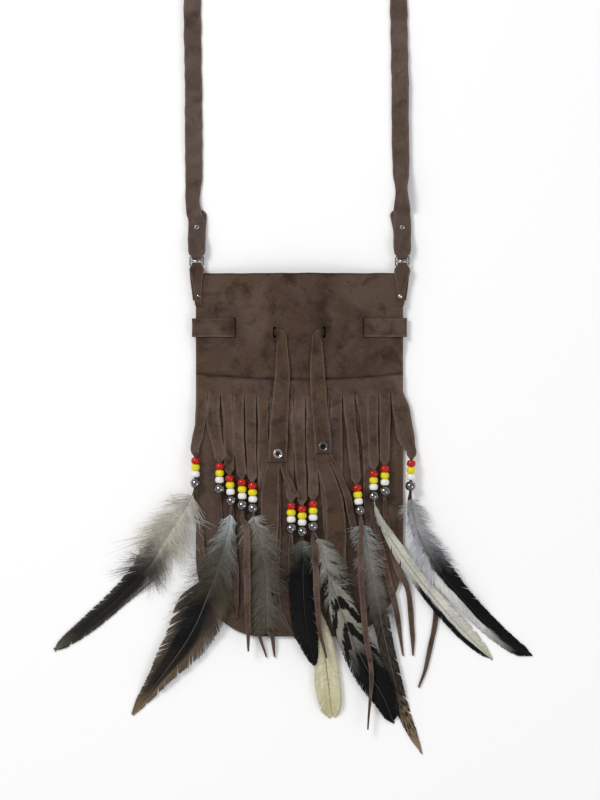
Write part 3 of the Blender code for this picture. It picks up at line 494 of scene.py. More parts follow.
# %% Lay a grid as a panel
def laid_grid(across, down, place, rim_of, stain_and_shade_of=None):
    """A grid of crossing lines. For a column and a row, place gives a point, rim_of its wear and
    stain_and_shade_of its darkening: real stains, and painted shade lines along the seam and the mouth."""
    sheet = bmesh.new()
    bmesh.ops.create_grid(sheet, x_segments=across, y_segments=down, size=0.5)
    wear = sheet.verts.layers.float.new("rim")
    # The second layer holds how dark each corner is: real stains, and painted shade lines.
    darkening = sheet.verts.layers.float.new("stain_and_shade")
    for corner in sheet.verts:
        column = round((corner.co.x + 0.5) * across)
        row = round((0.5 - corner.co.y) * down)
        corner.co = place(column, row)
        corner[wear] = rim_of(column, row)
        corner[darkening] = stain_and_shade_of(column, row) if stain_and_shade_of else 0.0
    return sheet


SLIT_HALF = 1.15 * MM
OUTER_SLIT_X = 48.4 * MM
INNER_SLIT_X = 18.6 * MM
SLIT_REACH = THONG_BAND / 2 + 0.75 * MM
SLIT_CENTRES = (-OUTER_SLIT_X, -INNER_SLIT_X, INNER_SLIT_X, OUTER_SLIT_X)
THONG_NECK = 7 * MM
NECK_DROP = 3.6 * MM
INNER_SLIT_Y = NECK_Y - NECK_DROP
INNER_REACH = SLIT_REACH - NECK_DROP
FRINGE_SEAM = 80.2 * MM
SEAM_SIDE_RISE = 4.7 * MM
COLUMN_STEP = 2.2 * MM
LINE_STEP = 1.7 * MM
CORNER_LINES = 34             # cross lines round the bottom corners
BACK_COLUMNS = 40
CUT_EDGE = 0.2 * MM           # how far the knife's edges are rounded off
SLIT_TIP = 0.16               # square of a slit's width at its ends, beside its middle
EDGE_WAVE = 0.7 * MM
EDGE_RUN = 4 * MM             # how far below the mouth its edge waves along
GATHER_RISE = 0.45 * MM       # folds that the thong pulls up beside each slit
GATHER_PITCH = 2.6 * MM
PANEL_WAVE = 0.30 * MM
MOUTH_WAVE = 0.8 * MM
MOUTH_DEPTH = 26 * MM         # how far below the mouth its waves reach
RIVET_HOLE = 1.15 * MM
RUBBED_X = -70 * MM           # the lower left of the front is rubbed pale
RUBBED_SPREAD = 13 * MM
RUBBED_TOP_Y = 20 * MM
SLIT_SOIL = 0.40
# Painted shade: a dark line on the front along the fringe's sewn top edge, standing for its shadow line.
SEAM_PAINTED_SHADE = 0.75
# Painted shade: the front's top row along the mouth is painted dark, as the shade line of the opening's edge.
MOUTH_PAINTED_SHADE = 0.85
# Dark patches on the front: x, y, half width, half height in millimetres, and depth.
PATCHES = ((13, 108, 7, 20, 0.34), (57, 84, 10, 6, 0.32))


def seam_y(x):
    return MOUTH_Y - FRINGE_SEAM + SEAM_SIDE_RISE * (x / HALF) ** 2


def slit_at(x):
    """Middle line, Y and half length of the slit nearest to x."""
    side = 1 if x > 0 else -1
    if abs(abs(x) - OUTER_SLIT_X) < abs(abs(x) - INNER_SLIT_X):
        return side * OUTER_SLIT_X, NECK_Y, SLIT_REACH
    return side * INNER_SLIT_X, INNER_SLIT_Y, INNER_REACH


def panel_columns():
    """Shares of the half width where the grid's upright lines run, with one at each slit's edges."""
    fixed = [-1.0]
    for centre in SLIT_CENTRES:
        fixed += [(centre - SLIT_HALF) / HALF, (centre + SLIT_HALF) / HALF]
    fixed.append(1.0)
    shares = [fixed[0]]
    for start, end in zip(fixed, fixed[1:]):
        count = max(1, round((end - start) * HALF / COLUMN_STEP))
        shares += [start + (end - start) * number / count for number in range(1, count + 1)]
    return shares


def panel_lines():
    """Y of the grid's cross lines, with lines at the slits' ends and closer ones round the corners."""
    stops = [MOUTH_Y, NECK_Y + SLIT_REACH, INNER_SLIT_Y + INNER_REACH, NECK_Y - SLIT_REACH, CORNER_TOP]
    lines = [MOUTH_Y]
    for start, end in zip(stops, stops[1:]):
        count = max(1, round((start - end) / LINE_STEP))
        lines += [start + (end - start) * number / count for number in range(1, count + 1)]
    for number in range(1, CORNER_LINES + 1):
        lines.append(CORNER_TOP - CORNER_RISE * math.sin(math.pi / 2 * number / CORNER_LINES))
    return lines


def pucker(x, y):
    """Soft gathers beside the slits and faint waves elsewhere."""
    level = PANEL_WAVE * ripple(x, y, 24 * MM, 1.3)
    for centre in SLIT_CENTRES:
        near = bell(x - centre, 9 * MM) * bell(y - NECK_Y, 16 * MM)
        level += GATHER_RISE * near * math.cos((x - centre) / GATHER_PITCH)
    mouth = smoothstep((y - MOUTH_Y + MOUTH_DEPTH) / MOUTH_DEPTH)
    level += mouth * MOUTH_WAVE * ripple(x, 0, 21 * MM, 7.7)
    inner = smoothstep((HALF - abs(x)) / (10 * MM))
    above_fringe = smoothstep((y - 56 * MM) / (10 * MM))
    return level * inner * (0.35 + 0.65 * above_fringe)


def make_front():
    shares = panel_columns()
    lines = panel_lines()

    def place(column, row):
        y = lines[row]
        x = shares[column] * half_width(y)
        slit_x, slit_y, reach = slit_at(x)
        if abs(abs(x - slit_x) - SLIT_HALF) < 0.01 * MM and abs(y - slit_y) < reach + 0.1 * MM:
            lens = math.sqrt(max(SLIT_TIP, 1 - ((y - slit_y) / (reach + 0.3 * MM)) ** 4))
            x = slit_x + (x - slit_x) * lens
        lift = smoothstep((y - MOUTH_Y + EDGE_RUN) / EDGE_RUN)
        wave = EDGE_WAVE * ripple(x, 0, 17 * MM, 3.1) * lift * smoothstep((HALF - abs(x)) / (12 * MM))
        return Vector((x, y + wave, front_under(x, y) + pucker(x, y)))

    def rim_of(column, row):
        y = lines[row]
        left = bell(shares[column] * half_width(y) - RUBBED_X, RUBBED_SPREAD)
        paler = smoothstep((RUBBED_TOP_Y - y) / (30 * MM)) * (0.08 + 0.5 * left)
        return 0.5 if column in (0, len(shares) - 1) else paler

    def stain_and_shade_of(column, row):
        y = lines[row]
        x = shares[column] * half_width(y)
        slit_x, slit_y, reach = slit_at(x)
        stain_and_shade = SLIT_SOIL * bell(x - slit_x, 5 * MM) * bell(max(0.0, abs(y - slit_y) - reach), 6 * MM)
        for patch_x, patch_y, wide, high, depth in PATCHES:
            stain_and_shade += depth * bell(x - patch_x * MM, wide * MM) * bell(y - patch_y * MM, high * MM)
        # Painted shade: a thin dark line just above the fringe's seam.
        stain_and_shade += SEAM_PAINTED_SHADE * bell(y - seam_y(x) - 0.5 * MM, 0.9 * MM)
        # The top row, along the mouth, adds a painted shade line.
        return min(1.0, stain_and_shade + (MOUTH_PAINTED_SHADE if row == 0 else 0.0))

    sheet = laid_grid(len(shares) - 1, len(lines) - 1, place, rim_of, stain_and_shade_of)
    gone = []
    for face in sheet.faces:
        middle = face.calc_center_median()
        slit_x, slit_y, reach = slit_at(middle.x)
        if abs(middle.x - slit_x) < SLIT_HALF and abs(middle.y - slit_y) < reach:
            gone.append(face)
    bmesh.ops.delete(sheet, geom=gone, context="FACES")
    item = object_from("pouch_front", sheet, pouch_suede)
    thicken(item, SUEDE, 1, 0.22 * MM)
    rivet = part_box("tab_rivet_right")
    rivet_x = (rivet[0][0] + rivet[1][0]) / 2
    rivet_y = (rivet[0][1] + rivet[1][1]) / 2
    pierce(item, [(rivet_x, rivet_y, RIVET_HOLE), (-rivet_x, rivet_y, RIVET_HOLE)], SUEDE, 12 * MM)
    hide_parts("front_panel")
    print("front panel", len(item.data.polygons), "faces")


def make_back():
    lines = panel_lines()[::2]
    across = BACK_COLUMNS

    def place(column, row):
        y = lines[row]
        return Vector(((2 * column / across - 1) * half_width(y), y, 0))

    def rim_of(column, row):
        return 0.8 if row == 0 or column in (0, across) or row == len(lines) - 1 else 0.0

    sheet = laid_grid(across, len(lines) - 1, place, rim_of)
    item = object_from("pouch_back", sheet, back_suede)
    thicken(item, SUEDE, 1, CUT_EDGE)
    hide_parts("back_panel")


make_front()
make_back()

# %% [markdown]
# ## Thongs and straps
# A cut thong is a ribbon of suede. It never lies quite flat: it cups, it rocks from side to side, and
# its width wanders where the knife did. Each ribbon follows stations, and a station holds a middle
# point, the direction across and a width.

# %% Ribbons
RIBBON_COLUMNS = 8
THIN_EDGE = 0.18 * MM


def ribbon_sheet(stations, cup=0.0, rock=0.0, wander=0.0, seed=0.0, twist=None, darkening=None):
    """A ribbon through (centre, across, width) with a cupped, rocking and wandering section.
    Twist gives an extra turn about the ribbon's own course at a point, and the darkening function a stained,
    darker patch."""
    rows = len(stations) - 1
    lengths = [0.0]
    for (start, _, _), (end, _, _) in zip(stations, stations[1:]):
        lengths.append(lengths[-1] + (end - start).length)

    def place(column, row):
        centre, across, width = stations[row]
        before = stations[max(0, row - 1)][0]
        after = stations[min(rows, row + 1)][0]
        heading = (after - before).normalized()
        upward = across.cross(heading)
        if abs(upward.z) > 0.2 and upward.z < 0:
            upward = -upward
        run = lengths[row]
        share = 2 * column / RIBBON_COLUMNS - 1
        width *= 1 + wander * noise.noise(Vector((run / (9 * MM), seed, share * 0.4)))
        lean = rock * noise.noise(Vector((run / (26 * MM), seed + 5.5, 0)))
        if twist:
            lean += twist(centre)
        rise = width / 2 * (math.sin(lean) * share + abs(math.sin(lean)))
        rise += cup * width * (share * share - 0.3)
        return centre + across * width / 2 * share * math.cos(lean) + upward * rise

    def rim_of(column, row):
        return 1.0 if column in (0, RIBBON_COLUMNS) else 0.0

    def stain_and_shade_of(column, row):
        return darkening(place(column, row)) if darkening else 0.0

    return laid_grid(RIBBON_COLUMNS, rows, place, rim_of, stain_and_shade_of)


def dense(stations, step):
    """The same stations on a smooth curve, one step apart."""
    rows = [(*centre, *across, width) for centre, across, width in stations]
    result = []
    for x, y, z, a, b, c, width in smooth_route(rows, step, flat=False):
        result.append((Vector((x, y, z)), Vector((a, b, c)).normalized(), width))
    return result


def course_length(stations):
    return sum((b[0] - a[0]).length for a, b in zip(stations, stations[1:]))


THONG_THICK = 1.2 * MM
FRINGE_THICK = 1.1 * MM
TASSEL_THICK = 1.1 * MM
FLANGE_THICK = 0.45 * MM
FRINGE_TOP = LIE_GAP + FRINGE_THICK
FLANGE_LOW = FRINGE_TOP + GAP
TASSEL_LOW = FLANGE_LOW + FLANGE_THICK + GAP
THONG_END_LOW = TASSEL_LOW + TASSEL_THICK + GAP
FLANGE_HIGH = THONG_END_LOW + THONG_THICK + GAP

# %% [markdown]
# The drawstring goes round the neck. It lies on the back panel inside the pouch, comes out at both
# side seams, folds over the front's edge, dives through the outer slits, runs hidden to the inner
# slits and comes out there to hang. Its stations are the ones that the plain solid follows.

# %% The drawstring
DIVE_RUN = 2.4 * MM
TURN_RADIUS = 4 * MM
SIDE_REACH = 0.2 * MM
THONG_GATHERED = 0.68 * THONG_NECK
EYELET_FLANGE = 3.6 * MM
EYELET_HOLE = 2.3 * MM
EYELET_CLEAR = 3 * MM
EYELET_RAMP = 16 * MM         # run over which the thong climbs onto its tassel
STAIN_START_X = 13.2 * MM
STAIN_FADE = 3.5 * MM
THONG_ENDS = {
    "left": [(-12.9, 60, 10.9), (-14.8, 30, 13), (-16, 7, 14), (-16.4, -5, 13)],
    "right": [(13.5, 60, 11.2), (15.6, 30, 12), (17.4, 11, 12.4), (17.8, 1.5, 11.5)],
}
EYELETS = {"left": (-16.1 * MM, 1.2 * MM), "right": (17.6 * MM, 6.4 * MM)}


def millimetres(*values):
    return tuple(value * MM for value in values)


def thong_side(sign, route):
    inside = SUEDE + GAP + THONG_THICK / 2
    over = SEAM_HIGH + SUEDE + THONG_GAP + THONG_THICK / 2
    above = SUEDE + THONG_GAP + THONG_THICK / 2
    below = -THONG_GAP - THONG_THICK / 2
    stations = []

    def add(x, z, width=THONG_BAND, y=NECK_Y):
        stations.append((Vector((sign * x, y, z)), ALONG_Y, width))

    for x in (0, HALF / 3, HALF * 2 / 3, HALF + SIDE_REACH):
        add(x, inside)
    radius = (over - inside) / 2
    for number in range(1, 8):
        angle = math.pi * number / 8
        add(HALF + SIDE_REACH + radius * math.sin(angle), inside + radius * (1 - math.cos(angle)))
    add(HALF + SIDE_REACH, over)
    start = OUTER_SLIT_X + DIVE_RUN / 2
    for number in range(1, 6):
        x = HALF - SEAM_MARGIN + (start - HALF + SEAM_MARGIN) * number / 5
        add(x, front_under(x, NECK_Y) + above)
    start = OUTER_SLIT_X - DIVE_RUN / 2
    finish = INNER_SLIT_X + DIVE_RUN / 2
    for number in range(5):
        share = number / 4
        x = start + (finish - start) * share
        width = THONG_BAND + (THONG_GATHERED - THONG_BAND) * smoothstep(share)
        add(x, front_under(x, NECK_Y) + below, width, NECK_Y - NECK_DROP * smoothstep(share))
    x = INNER_SLIT_X - DIVE_RUN / 2
    low_y = NECK_Y - NECK_DROP
    add(x, front_under(x, low_y) + above, THONG_GATHERED, low_y)
    for number in range(1, 6):
        angle = math.pi / 2 * number / 5
        turn_x = x - GAP - TURN_RADIUS * math.sin(angle)
        turn_y = low_y - TURN_RADIUS * (1 - math.cos(angle))
        centre = Vector((sign * turn_x, turn_y, front_under(turn_x, turn_y) + above))
        width = THONG_GATHERED + (THONG_NECK - THONG_GATHERED) * number / 5
        stations.append((centre, Vector((-sign * math.sin(angle), math.cos(angle), 0)), width))
    hang_x = x - GAP - TURN_RADIUS
    hang_y = low_y - TURN_RADIUS
    points = [(sign * hang_x, hang_y, THONG_NECK)] + [millimetres(*point) for point in route]
    lowest = points[-2][1] + EYELET_FLANGE + EYELET_CLEAR
    highest = MOUTH_Y - FRINGE_SEAM + SEAM_SIDE_RISE
    for x, y, width in smooth_route(points, 4 * MM)[1:]:
        over_fringe = SUEDE + FRINGE_TOP + GAP + LIE_GAP + THONG_THICK / 2
        level = above + (over_fringe - above) * smoothstep((hang_y - y) / (hang_y - highest))
        at_eyelet = SUEDE + THONG_END_LOW + THONG_THICK / 2
        level += (at_eyelet - over_fringe) * smoothstep((lowest + EYELET_RAMP - y) / EYELET_RAMP)
        stations.append((Vector((x, y, front_under(x, y) + level)), -sign * ALONG_X, width))
    return stations


def thong_stain(point):
    """Handling has darkened the thong where it comes out of the slits."""
    reach = abs(point.x)
    above = point.y - INNER_SLIT_Y + 2 * INNER_REACH
    if above < 0:
        return 0.0
    inner = 0.0
    if reach < 2 * INNER_SLIT_X - 10 * MM:
        inner = 0.85 * smoothstep((reach - STAIN_START_X) / STAIN_FADE) * smoothstep(above / (5 * MM))
    outer = 0.55 * bell(reach - OUTER_SLIT_X, 4 * MM)
    top = 0.45 if reach > OUTER_SLIT_X and point.y > NECK_Y + THONG_BAND / 2 - 1.5 * MM else 0.0
    return min(1.0, inner + outer + top)


def pierce_for_eyelet(item, side):
    x, y = EYELETS[side]
    level = rest_level(x, y)
    pierce(item, [(x, y, EYELET_HOLE)], level + FRINGE_TOP, level + FLANGE_HIGH + FLANGE_THICK)


def make_drawstring():
    left = thong_side(-1, THONG_ENDS["left"])
    right = thong_side(1, THONG_ENDS["right"])
    stations = dense(list(reversed(left))[:-1] + right, 1.6 * MM)
    sheet = ribbon_sheet(stations, cup=0.02, wander=0.07, seed=2.0, darkening=thong_stain)
    item = object_from("drawstring_thong", sheet, thong_suede)
    thicken(item, THONG_THICK, 0, CUT_EDGE)
    for side in EYELETS:
        pierce_for_eyelet(item, side)
    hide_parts("drawstring")
    print("drawstring", round(course_length(stations) / MM), "mm long")


make_drawstring()

# %% [markdown]
# The shoulder strap is a half inch of suede. Each end goes round its link and back under itself, and
# a small rivet holds the loop. Away from the rivets the strap lies on the floor and closes in a plain
# round, beyond what the picture shows.

# %% The strap
STRAP_WIDTH = 13 * MM
STRAP_THICK = 1.3 * MM
FLOOR_GAP = 0.1 * MM
TAIL_LENGTH = 35 * MM
TAIL_SHIFTS = {-1: 1.4 * MM, 1: 3.0 * MM}
STRAP_RIVET_UP = 22 * MM
TAB_NECK = 7.6 * MM
LINK_BAR = 1.4 * MM
FOLD_GAP = 0.35 * MM
BAR_PITCH = 3.5 * MM
link_low, link_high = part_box("ring_right")
LINK_X = (link_low[0] + link_high[0]) / 2
LINK_Y = (link_low[1] + link_high[1]) / 2
TAB_BAR_Y = LINK_Y - BAR_PITCH
STRAP_BAR_Y = LINK_Y + BAR_PITCH
STRAP_FOLD = LINK_BAR / 2 + FOLD_GAP + STRAP_THICK / 2
STRAP_ROUTE = [(-79.2, 190), (-79.4, 229), (-80, 290), (-80.6, 341), (-81, 450), (-80, 560), (-71, 622),
               (-44, 672), (-3, 690), (38, 672), (66, 622), (74, 560), (74.4, 450), (74.6, 341),
               (75.4, 290), (76.1, 229), (76.8, 190)]
STRAP_LIFT = 0.5 * MM         # how far the strap rises off the floor in soft waves
SLOW_TWIST = 0.22
EDGE_TWIST = 0.85             # the strap's turn onto its edge above its right end
EDGE_AT = 13 * MM
WAIST_SHIFT = 1.2 * MM        # the left run narrows and swings out above its end
WAIST_CUT = 0.17
WAIST_AT = 3 * MM
WAIST_SPREAD = 13 * MM


def fold_stations(x, bar_y, radius, first, last, steps, width):
    stations = []
    for number in range(steps + 1):
        angle = first + (last - first) * number / steps
        centre = Vector((x, bar_y + radius * math.cos(angle), LINK_Z + radius * math.sin(angle)))
        stations.append((centre, ALONG_X, width))
    return stations


def strap_end(sign):
    x = sign * LINK_X
    tail = FLOOR_GAP + FLANGE_THICK + GAP + STRAP_THICK / 2
    over = tail + STRAP_THICK + GAP
    low = FLOOR_GAP + STRAP_THICK / 2
    rivet_y = STRAP_BAR_Y + STRAP_RIVET_UP
    end_y = STRAP_BAR_Y + TAIL_LENGTH
    inward = -sign * TAIL_SHIFTS[sign]
    stations = []
    under = LINK_Z - STRAP_FOLD
    for y, z, shift, width in ((end_y, low, inward, 0.45), (end_y - 1.2 * MM, low, inward, 0.75),
                               (end_y - 3.5 * MM, low, inward, 0.92),
                               (rivet_y + 5 * MM, tail, inward * 0.5, 1), (rivet_y - 4 * MM, tail, 0, 1),
                               (STRAP_BAR_Y + 10 * MM, under, 0, 1), (STRAP_BAR_Y + 6 * MM, under, 0, 1),
                               (STRAP_BAR_Y + 3.2 * MM, under, 0, 0.8)):
        stations.append((Vector((x + shift, y, z)), ALONG_X, STRAP_WIDTH * width))
    stations += fold_stations(x, STRAP_BAR_Y, STRAP_FOLD, -math.pi / 2, -3 * math.pi / 2, 10, TAB_NECK)
    crown = LINK_Z + STRAP_FOLD
    for y, z, width in ((STRAP_BAR_Y + 1.4 * MM, crown, 0.86), (STRAP_BAR_Y + 5 * MM, crown, 1),
                        (STRAP_BAR_Y + 10 * MM, crown, 1), (rivet_y - 4 * MM, over, 1),
                        (rivet_y + 5 * MM, over, 1)):
        stations.append((Vector((x, y, z)), ALONG_X, STRAP_WIDTH * width))
    return stations, over, low


def strap_twist(centre):
    """The strap turns partly on edge above its right end, and a little along both runs."""
    above = centre.y - STRAP_BAR_Y - TAIL_LENGTH
    if above < 0:
        return 0.0
    slow = SLOW_TWIST * math.sin(centre.y / (58 * MM) + 6 * centre.x) * smoothstep(above / (30 * MM))
    if centre.x < 0:
        return slow
    return slow - EDGE_TWIST * bell(above - EDGE_AT, EDGE_AT)


def make_strap():
    left, over, low = strap_end(-1)
    right = [(centre, -across, width) for centre, across, width in reversed(strap_end(1)[0])]
    route = [(left[-1][0].x, left[-1][0].y)] + [millimetres(*point) for point in STRAP_ROUTE]
    route.append((right[0][0].x, right[0][0].y))
    points = smooth_route(route, 8 * MM)
    free_y = STRAP_BAR_Y + TAIL_LENGTH + 2 * MM
    middle = []
    for before, (x, y), after in zip(points, points[1:], points[2:]):
        heading = Vector((after[0] - before[0], after[1] - before[1], 0)).normalized()
        level = low + (over - low) * (1 - smoothstep((y - free_y) / (14 * MM)))
        lift = STRAP_LIFT * smoothstep((y - free_y - 10 * MM) / (40 * MM)) * (1 + ripple(x, y, 60 * MM, 9.1))
        waist = bell(y - free_y - WAIST_AT, WAIST_SPREAD) if x < 0 else 0.0
        centre = Vector((x - WAIST_SHIFT * waist, y, level + lift))
        middle.append((centre, heading.cross(UP), STRAP_WIDTH * (1 - WAIST_CUT * waist)))
    stations = dense(left + middle + right, 2.2 * MM)
    sheet = ribbon_sheet(stations, rock=0.05, wander=0.08, seed=8.0, twist=strap_twist)
    item = object_from("shoulder_strap", sheet, strap_suede, "strap")
    thicken(item, STRAP_THICK, 0, CUT_EDGE)
    for sign in (-1, 1):
        hole = (sign * LINK_X, STRAP_BAR_Y + STRAP_RIVET_UP, 1.5 * MM)
        pierce(item, [hole], -SUEDE, LINK_Z + 2 * STRAP_FOLD, folded=True)
    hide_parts("strap")
    print("strap", round(course_length(stations) / MM), "mm long")


make_strap()

# %% [markdown]
# A tab at each end of the mouth holds a link. It is a short tongue of suede, folded over the link's
# bar, and its tail narrows to a point under a small rivet.

# %% The tabs
TAB_THICK = 1.2 * MM
TAB_WIDTH = 10.5 * MM
TAB_TAIL = 4.5 * MM
TAB_LENGTH = 30 * MM
TAB_BACK_LENGTH = 26 * MM
TAB_FOLD = LINK_BAR / 2 + FOLD_GAP + TAB_THICK / 2
# Outline of each tab's front: share of its length below the bar, width and shift to the middle of the
# pouch, both in millimetres.
TAB_OUTLINES = {
    "left": [(1, 4.6, 1.4), (0.93, 5.2, 1.2), (0.76, 5.6, 1.1), (0.5, 6.6, 0.6), (0.3, 8.6, 0.2),
             (0.14, 10.8, 0), (0.05, 10.4, 0)],
    "right": [(1, 3.4, 0.6), (0.93, 4.6, 0.8), (0.76, 6.0, 1.0), (0.5, 7.6, 0.7), (0.3, 10.2, 0.3),
              (0.16, 12.2, 0), (0.05, 11.0, 0)],
}


def make_tab(side, sign):
    x = sign * LINK_X
    stations = []
    for share, width, shift in TAB_OUTLINES[side]:
        centre = Vector((x - sign * shift * MM, TAB_BAR_Y - TAB_LENGTH * share, LINK_Z + TAB_FOLD))
        stations.append((centre, ALONG_X, width * MM))
    stations += fold_stations(x, TAB_BAR_Y, TAB_FOLD, math.pi / 2, -math.pi / 2, 10, TAB_NECK)
    for share, width in ((0.2, TAB_WIDTH), (0.6, TAB_WIDTH * 0.8), (1, TAB_TAIL * 1.3)):
        centre = Vector((x, TAB_BAR_Y - TAB_BACK_LENGTH * share, LINK_Z - TAB_FOLD))
        stations.append((centre, ALONG_X, width))
    sheet = ribbon_sheet(dense(stations, 1.2 * MM), cup=0.02, wander=0.06, seed=20.0 + sign)
    item = object_from(f"tab_suede_{side}", sheet, thong_suede)
    thicken(item, TAB_THICK, 0, CUT_EDGE)
    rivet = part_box(f"tab_rivet_{side}")
    hole = ((rivet[0][0] + rivet[1][0]) / 2, (rivet[0][1] + rivet[1][1]) / 2, RIVET_HOLE)
    pierce(item, [hole], SUEDE, LINK_Z + 3 * TAB_FOLD)
    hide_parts(f"tab_{side}")


make_tab("left", -1)
make_tab("right", 1)

# %% [markdown]
# ## The fringe
# The fringe is one hide: a band sewn across the front, cut into seventeen strips. Some strips run
# plain to a long thin end. The others squeeze through three beads and a ball and come out below. The
# strips are pulled out of the band's lower edge, row by row, with the extrude operator.

# %% Strips of the fringe
# Per strip, in millimetres: its stack's top as (x, y, lean) or None, then (x, y, width) above and below it.
STRIPS = [
    ((-78.0, -1.8, 0.0), [(-75.4, 20, 8)],
     [(-76.1, -49, 5), (-72.4, -79, 5), (-67.9, -109, 4), (-64, -131, 1.5)]),
    ((-59.6, -6.1, -0.5), [(-64.8, 24, 8)], [(-58.9, -56, 5), (-57.4, -94, 4.5), (-56, -125, 1.5)]),
    ((-52.4, -15.0, 1.5), [(-53.2, 20, 7)], [(-49.9, -56, 5), (-47.6, -94, 4.5), (-46.1, -122, 1.5)]),
    ((-43.0, -18.1, 0.3), [(-45, 8, 7)],
     [(-39.5, -58, 5), (-39, -109, 5), (-38.6, -132, 3.5), (-37.9, -147, 1.2)]),
    ((-35.2, -20.4, 0.6), [(-36, 8, 7)],
     [(-33, -64, 4.5), (-32, -109, 4.5), (-31, -130, 3.5), (-24.9, -152, 1.2)]),
    (None, [(-27, -10, 7.5), (-26.5, -60, 6)], [(-25.1, -109, 5), (-20.6, -136, 3.5), (-18.5, -152, 1.2)]),
    (None, [(-18, -10, 7.5), (-17.6, -60, 6)], [(-17.6, -101, 5), (-11.6, -123, 4), (1.1, -142, 1.2)]),
    ((-6.2, -35.4, 0.0), [(-9, 0, 8), (-8, -20, 7)], [(-6.5, -76, 4.5), (-5.6, -98, 4), (-5, -116, 1.5)]),
    ((1.8, -37.7, 0.4), [(0.2, 0, 8), (1, -20, 7)], [(2.6, -78, 4.5), (3.5, -100, 4), (4.5, -129, 1.5)]),
    ((10.2, -34.0, 0.0), [(9.4, 0, 8), (10, -18, 7)],
     [(11.6, -70, 5), (13.1, -101, 4.5), (15, -129, 3.5), (20.6, -152, 1.2)]),
    (None, [(19, -10, 7.5), (21, -50, 6)], [(24, -85, 5), (28, -115, 4), (31, -139, 1.5)]),
    (None, [(28, -10, 7.5), (30, -50, 6)], [(33, -85, 5), (38, -115, 4), (42, -140, 1.5)]),
    ((42.8, -22.2, 2.8), [(38.2, 22, 7.5)],
     [(46.2, -79, 4.5), (48.4, -124, 4.5), (53.6, -164, 3.5), (51.4, -206, 1.2)]),
    (None, [(48.4, 24, 6.2), (50.6, 0, 6), (50.6, -30, 5)],
     [(51.8, -55, 5), (54, -77, 5), (58.9, -129, 4), (61.9, -148.5, 1.2)]),
    ((55.5, -11.4, 0.0), [(55, 15, 7.5)],
     [(57.2, -56, 5), (63.4, -79, 5), (72.4, -116, 4.5), (78.4, -151, 1.2)]),
    ((64.0, -7.9, 0.0), [(64, 15, 7.5)],
     [(66, -52, 5), (74, -86, 5), (81, -102, 4.5), (85, -133, 4), (85, -151, 1.2)]),
    ((83.9, -3.9, -0.7), [(76.6, 30, 11.5), (79.6, 14, 10.5)],
     [(84.6, -49, 5), (93.4, -79, 5), (102.4, -101, 5), (101.6, -127, 4), (95.6, -157, 3.5),
      (89.6, -175, 1.2)]),
]
STRIP_COUNT = len(STRIPS)
FRINGE_SIDE = 0.2 * MM
BAND_DEPTH = 12 * MM
STRIP_SLIT = 0.5 * MM
STRIP_NECK = 2.2 * MM
BEAD_CLIMB = 7 * MM
BEAD_RADIUS = 3.4 * MM
BEAD_LENGTH = 5 * MM
STACK_LENGTH = 3 * BEAD_LENGTH
BALL_RADIUS = 4 * MM
BEAD_AXIS = FRINGE_TOP + GAP + BEAD_RADIUS
BALL_AXIS = FRINGE_TOP + GAP + BALL_RADIUS
PITCH = 2 * (HALF - FRINGE_SIDE) / STRIP_COUNT
FOOT_WIDTH = 7.6 * MM         # strip just above its beads
WIDER = 1.12                  # soft strips spread a little over their neighbours
OVER_FEATHERS = 8.2 * MM      # level of the strips that hang in front of the feathers
FRONT_STRIPS = (3, 9, 12)
BROAD_STRIPS = {0: 0.9, 1: 1.2, 2: 1.08, 16: 1.05}   # width of single strips beside the others
STRIP_COLUMNS = 4
STRIP_STEP = 2.4 * MM
LANDING_WIDTH = 3.5 * MM      # strip just below its ball
SQUEEZE_STEPS = 5
STRIP_SWAY = 0.9 * MM
STRIP_WANDER = 0.16
STRIP_LEAN = 0.55
STRIP_CUP = 0.05
CUP_CHANGE = 0.07
BAND_ROWS = 6


def stack_frame(stack):
    x, y, lean = millimetres(*stack)
    bottom = Vector((x + lean, y - STACK_LENGTH - GAP - 2 * BALL_RADIUS, 0))
    top = Vector((x, y, 0))
    middle = (top + bottom) / 2
    level = rest_level(middle.x, middle.y) + BEAD_AXIS
    top.z = level
    bottom.z = level
    return top, bottom


def ball_centre(stack):
    top, bottom = stack_frame(stack)
    along = (bottom - top).normalized()
    centre = top + along * (STACK_LENGTH + GAP + BALL_RADIUS)
    centre.z += BALL_AXIS - BEAD_AXIS
    return centre


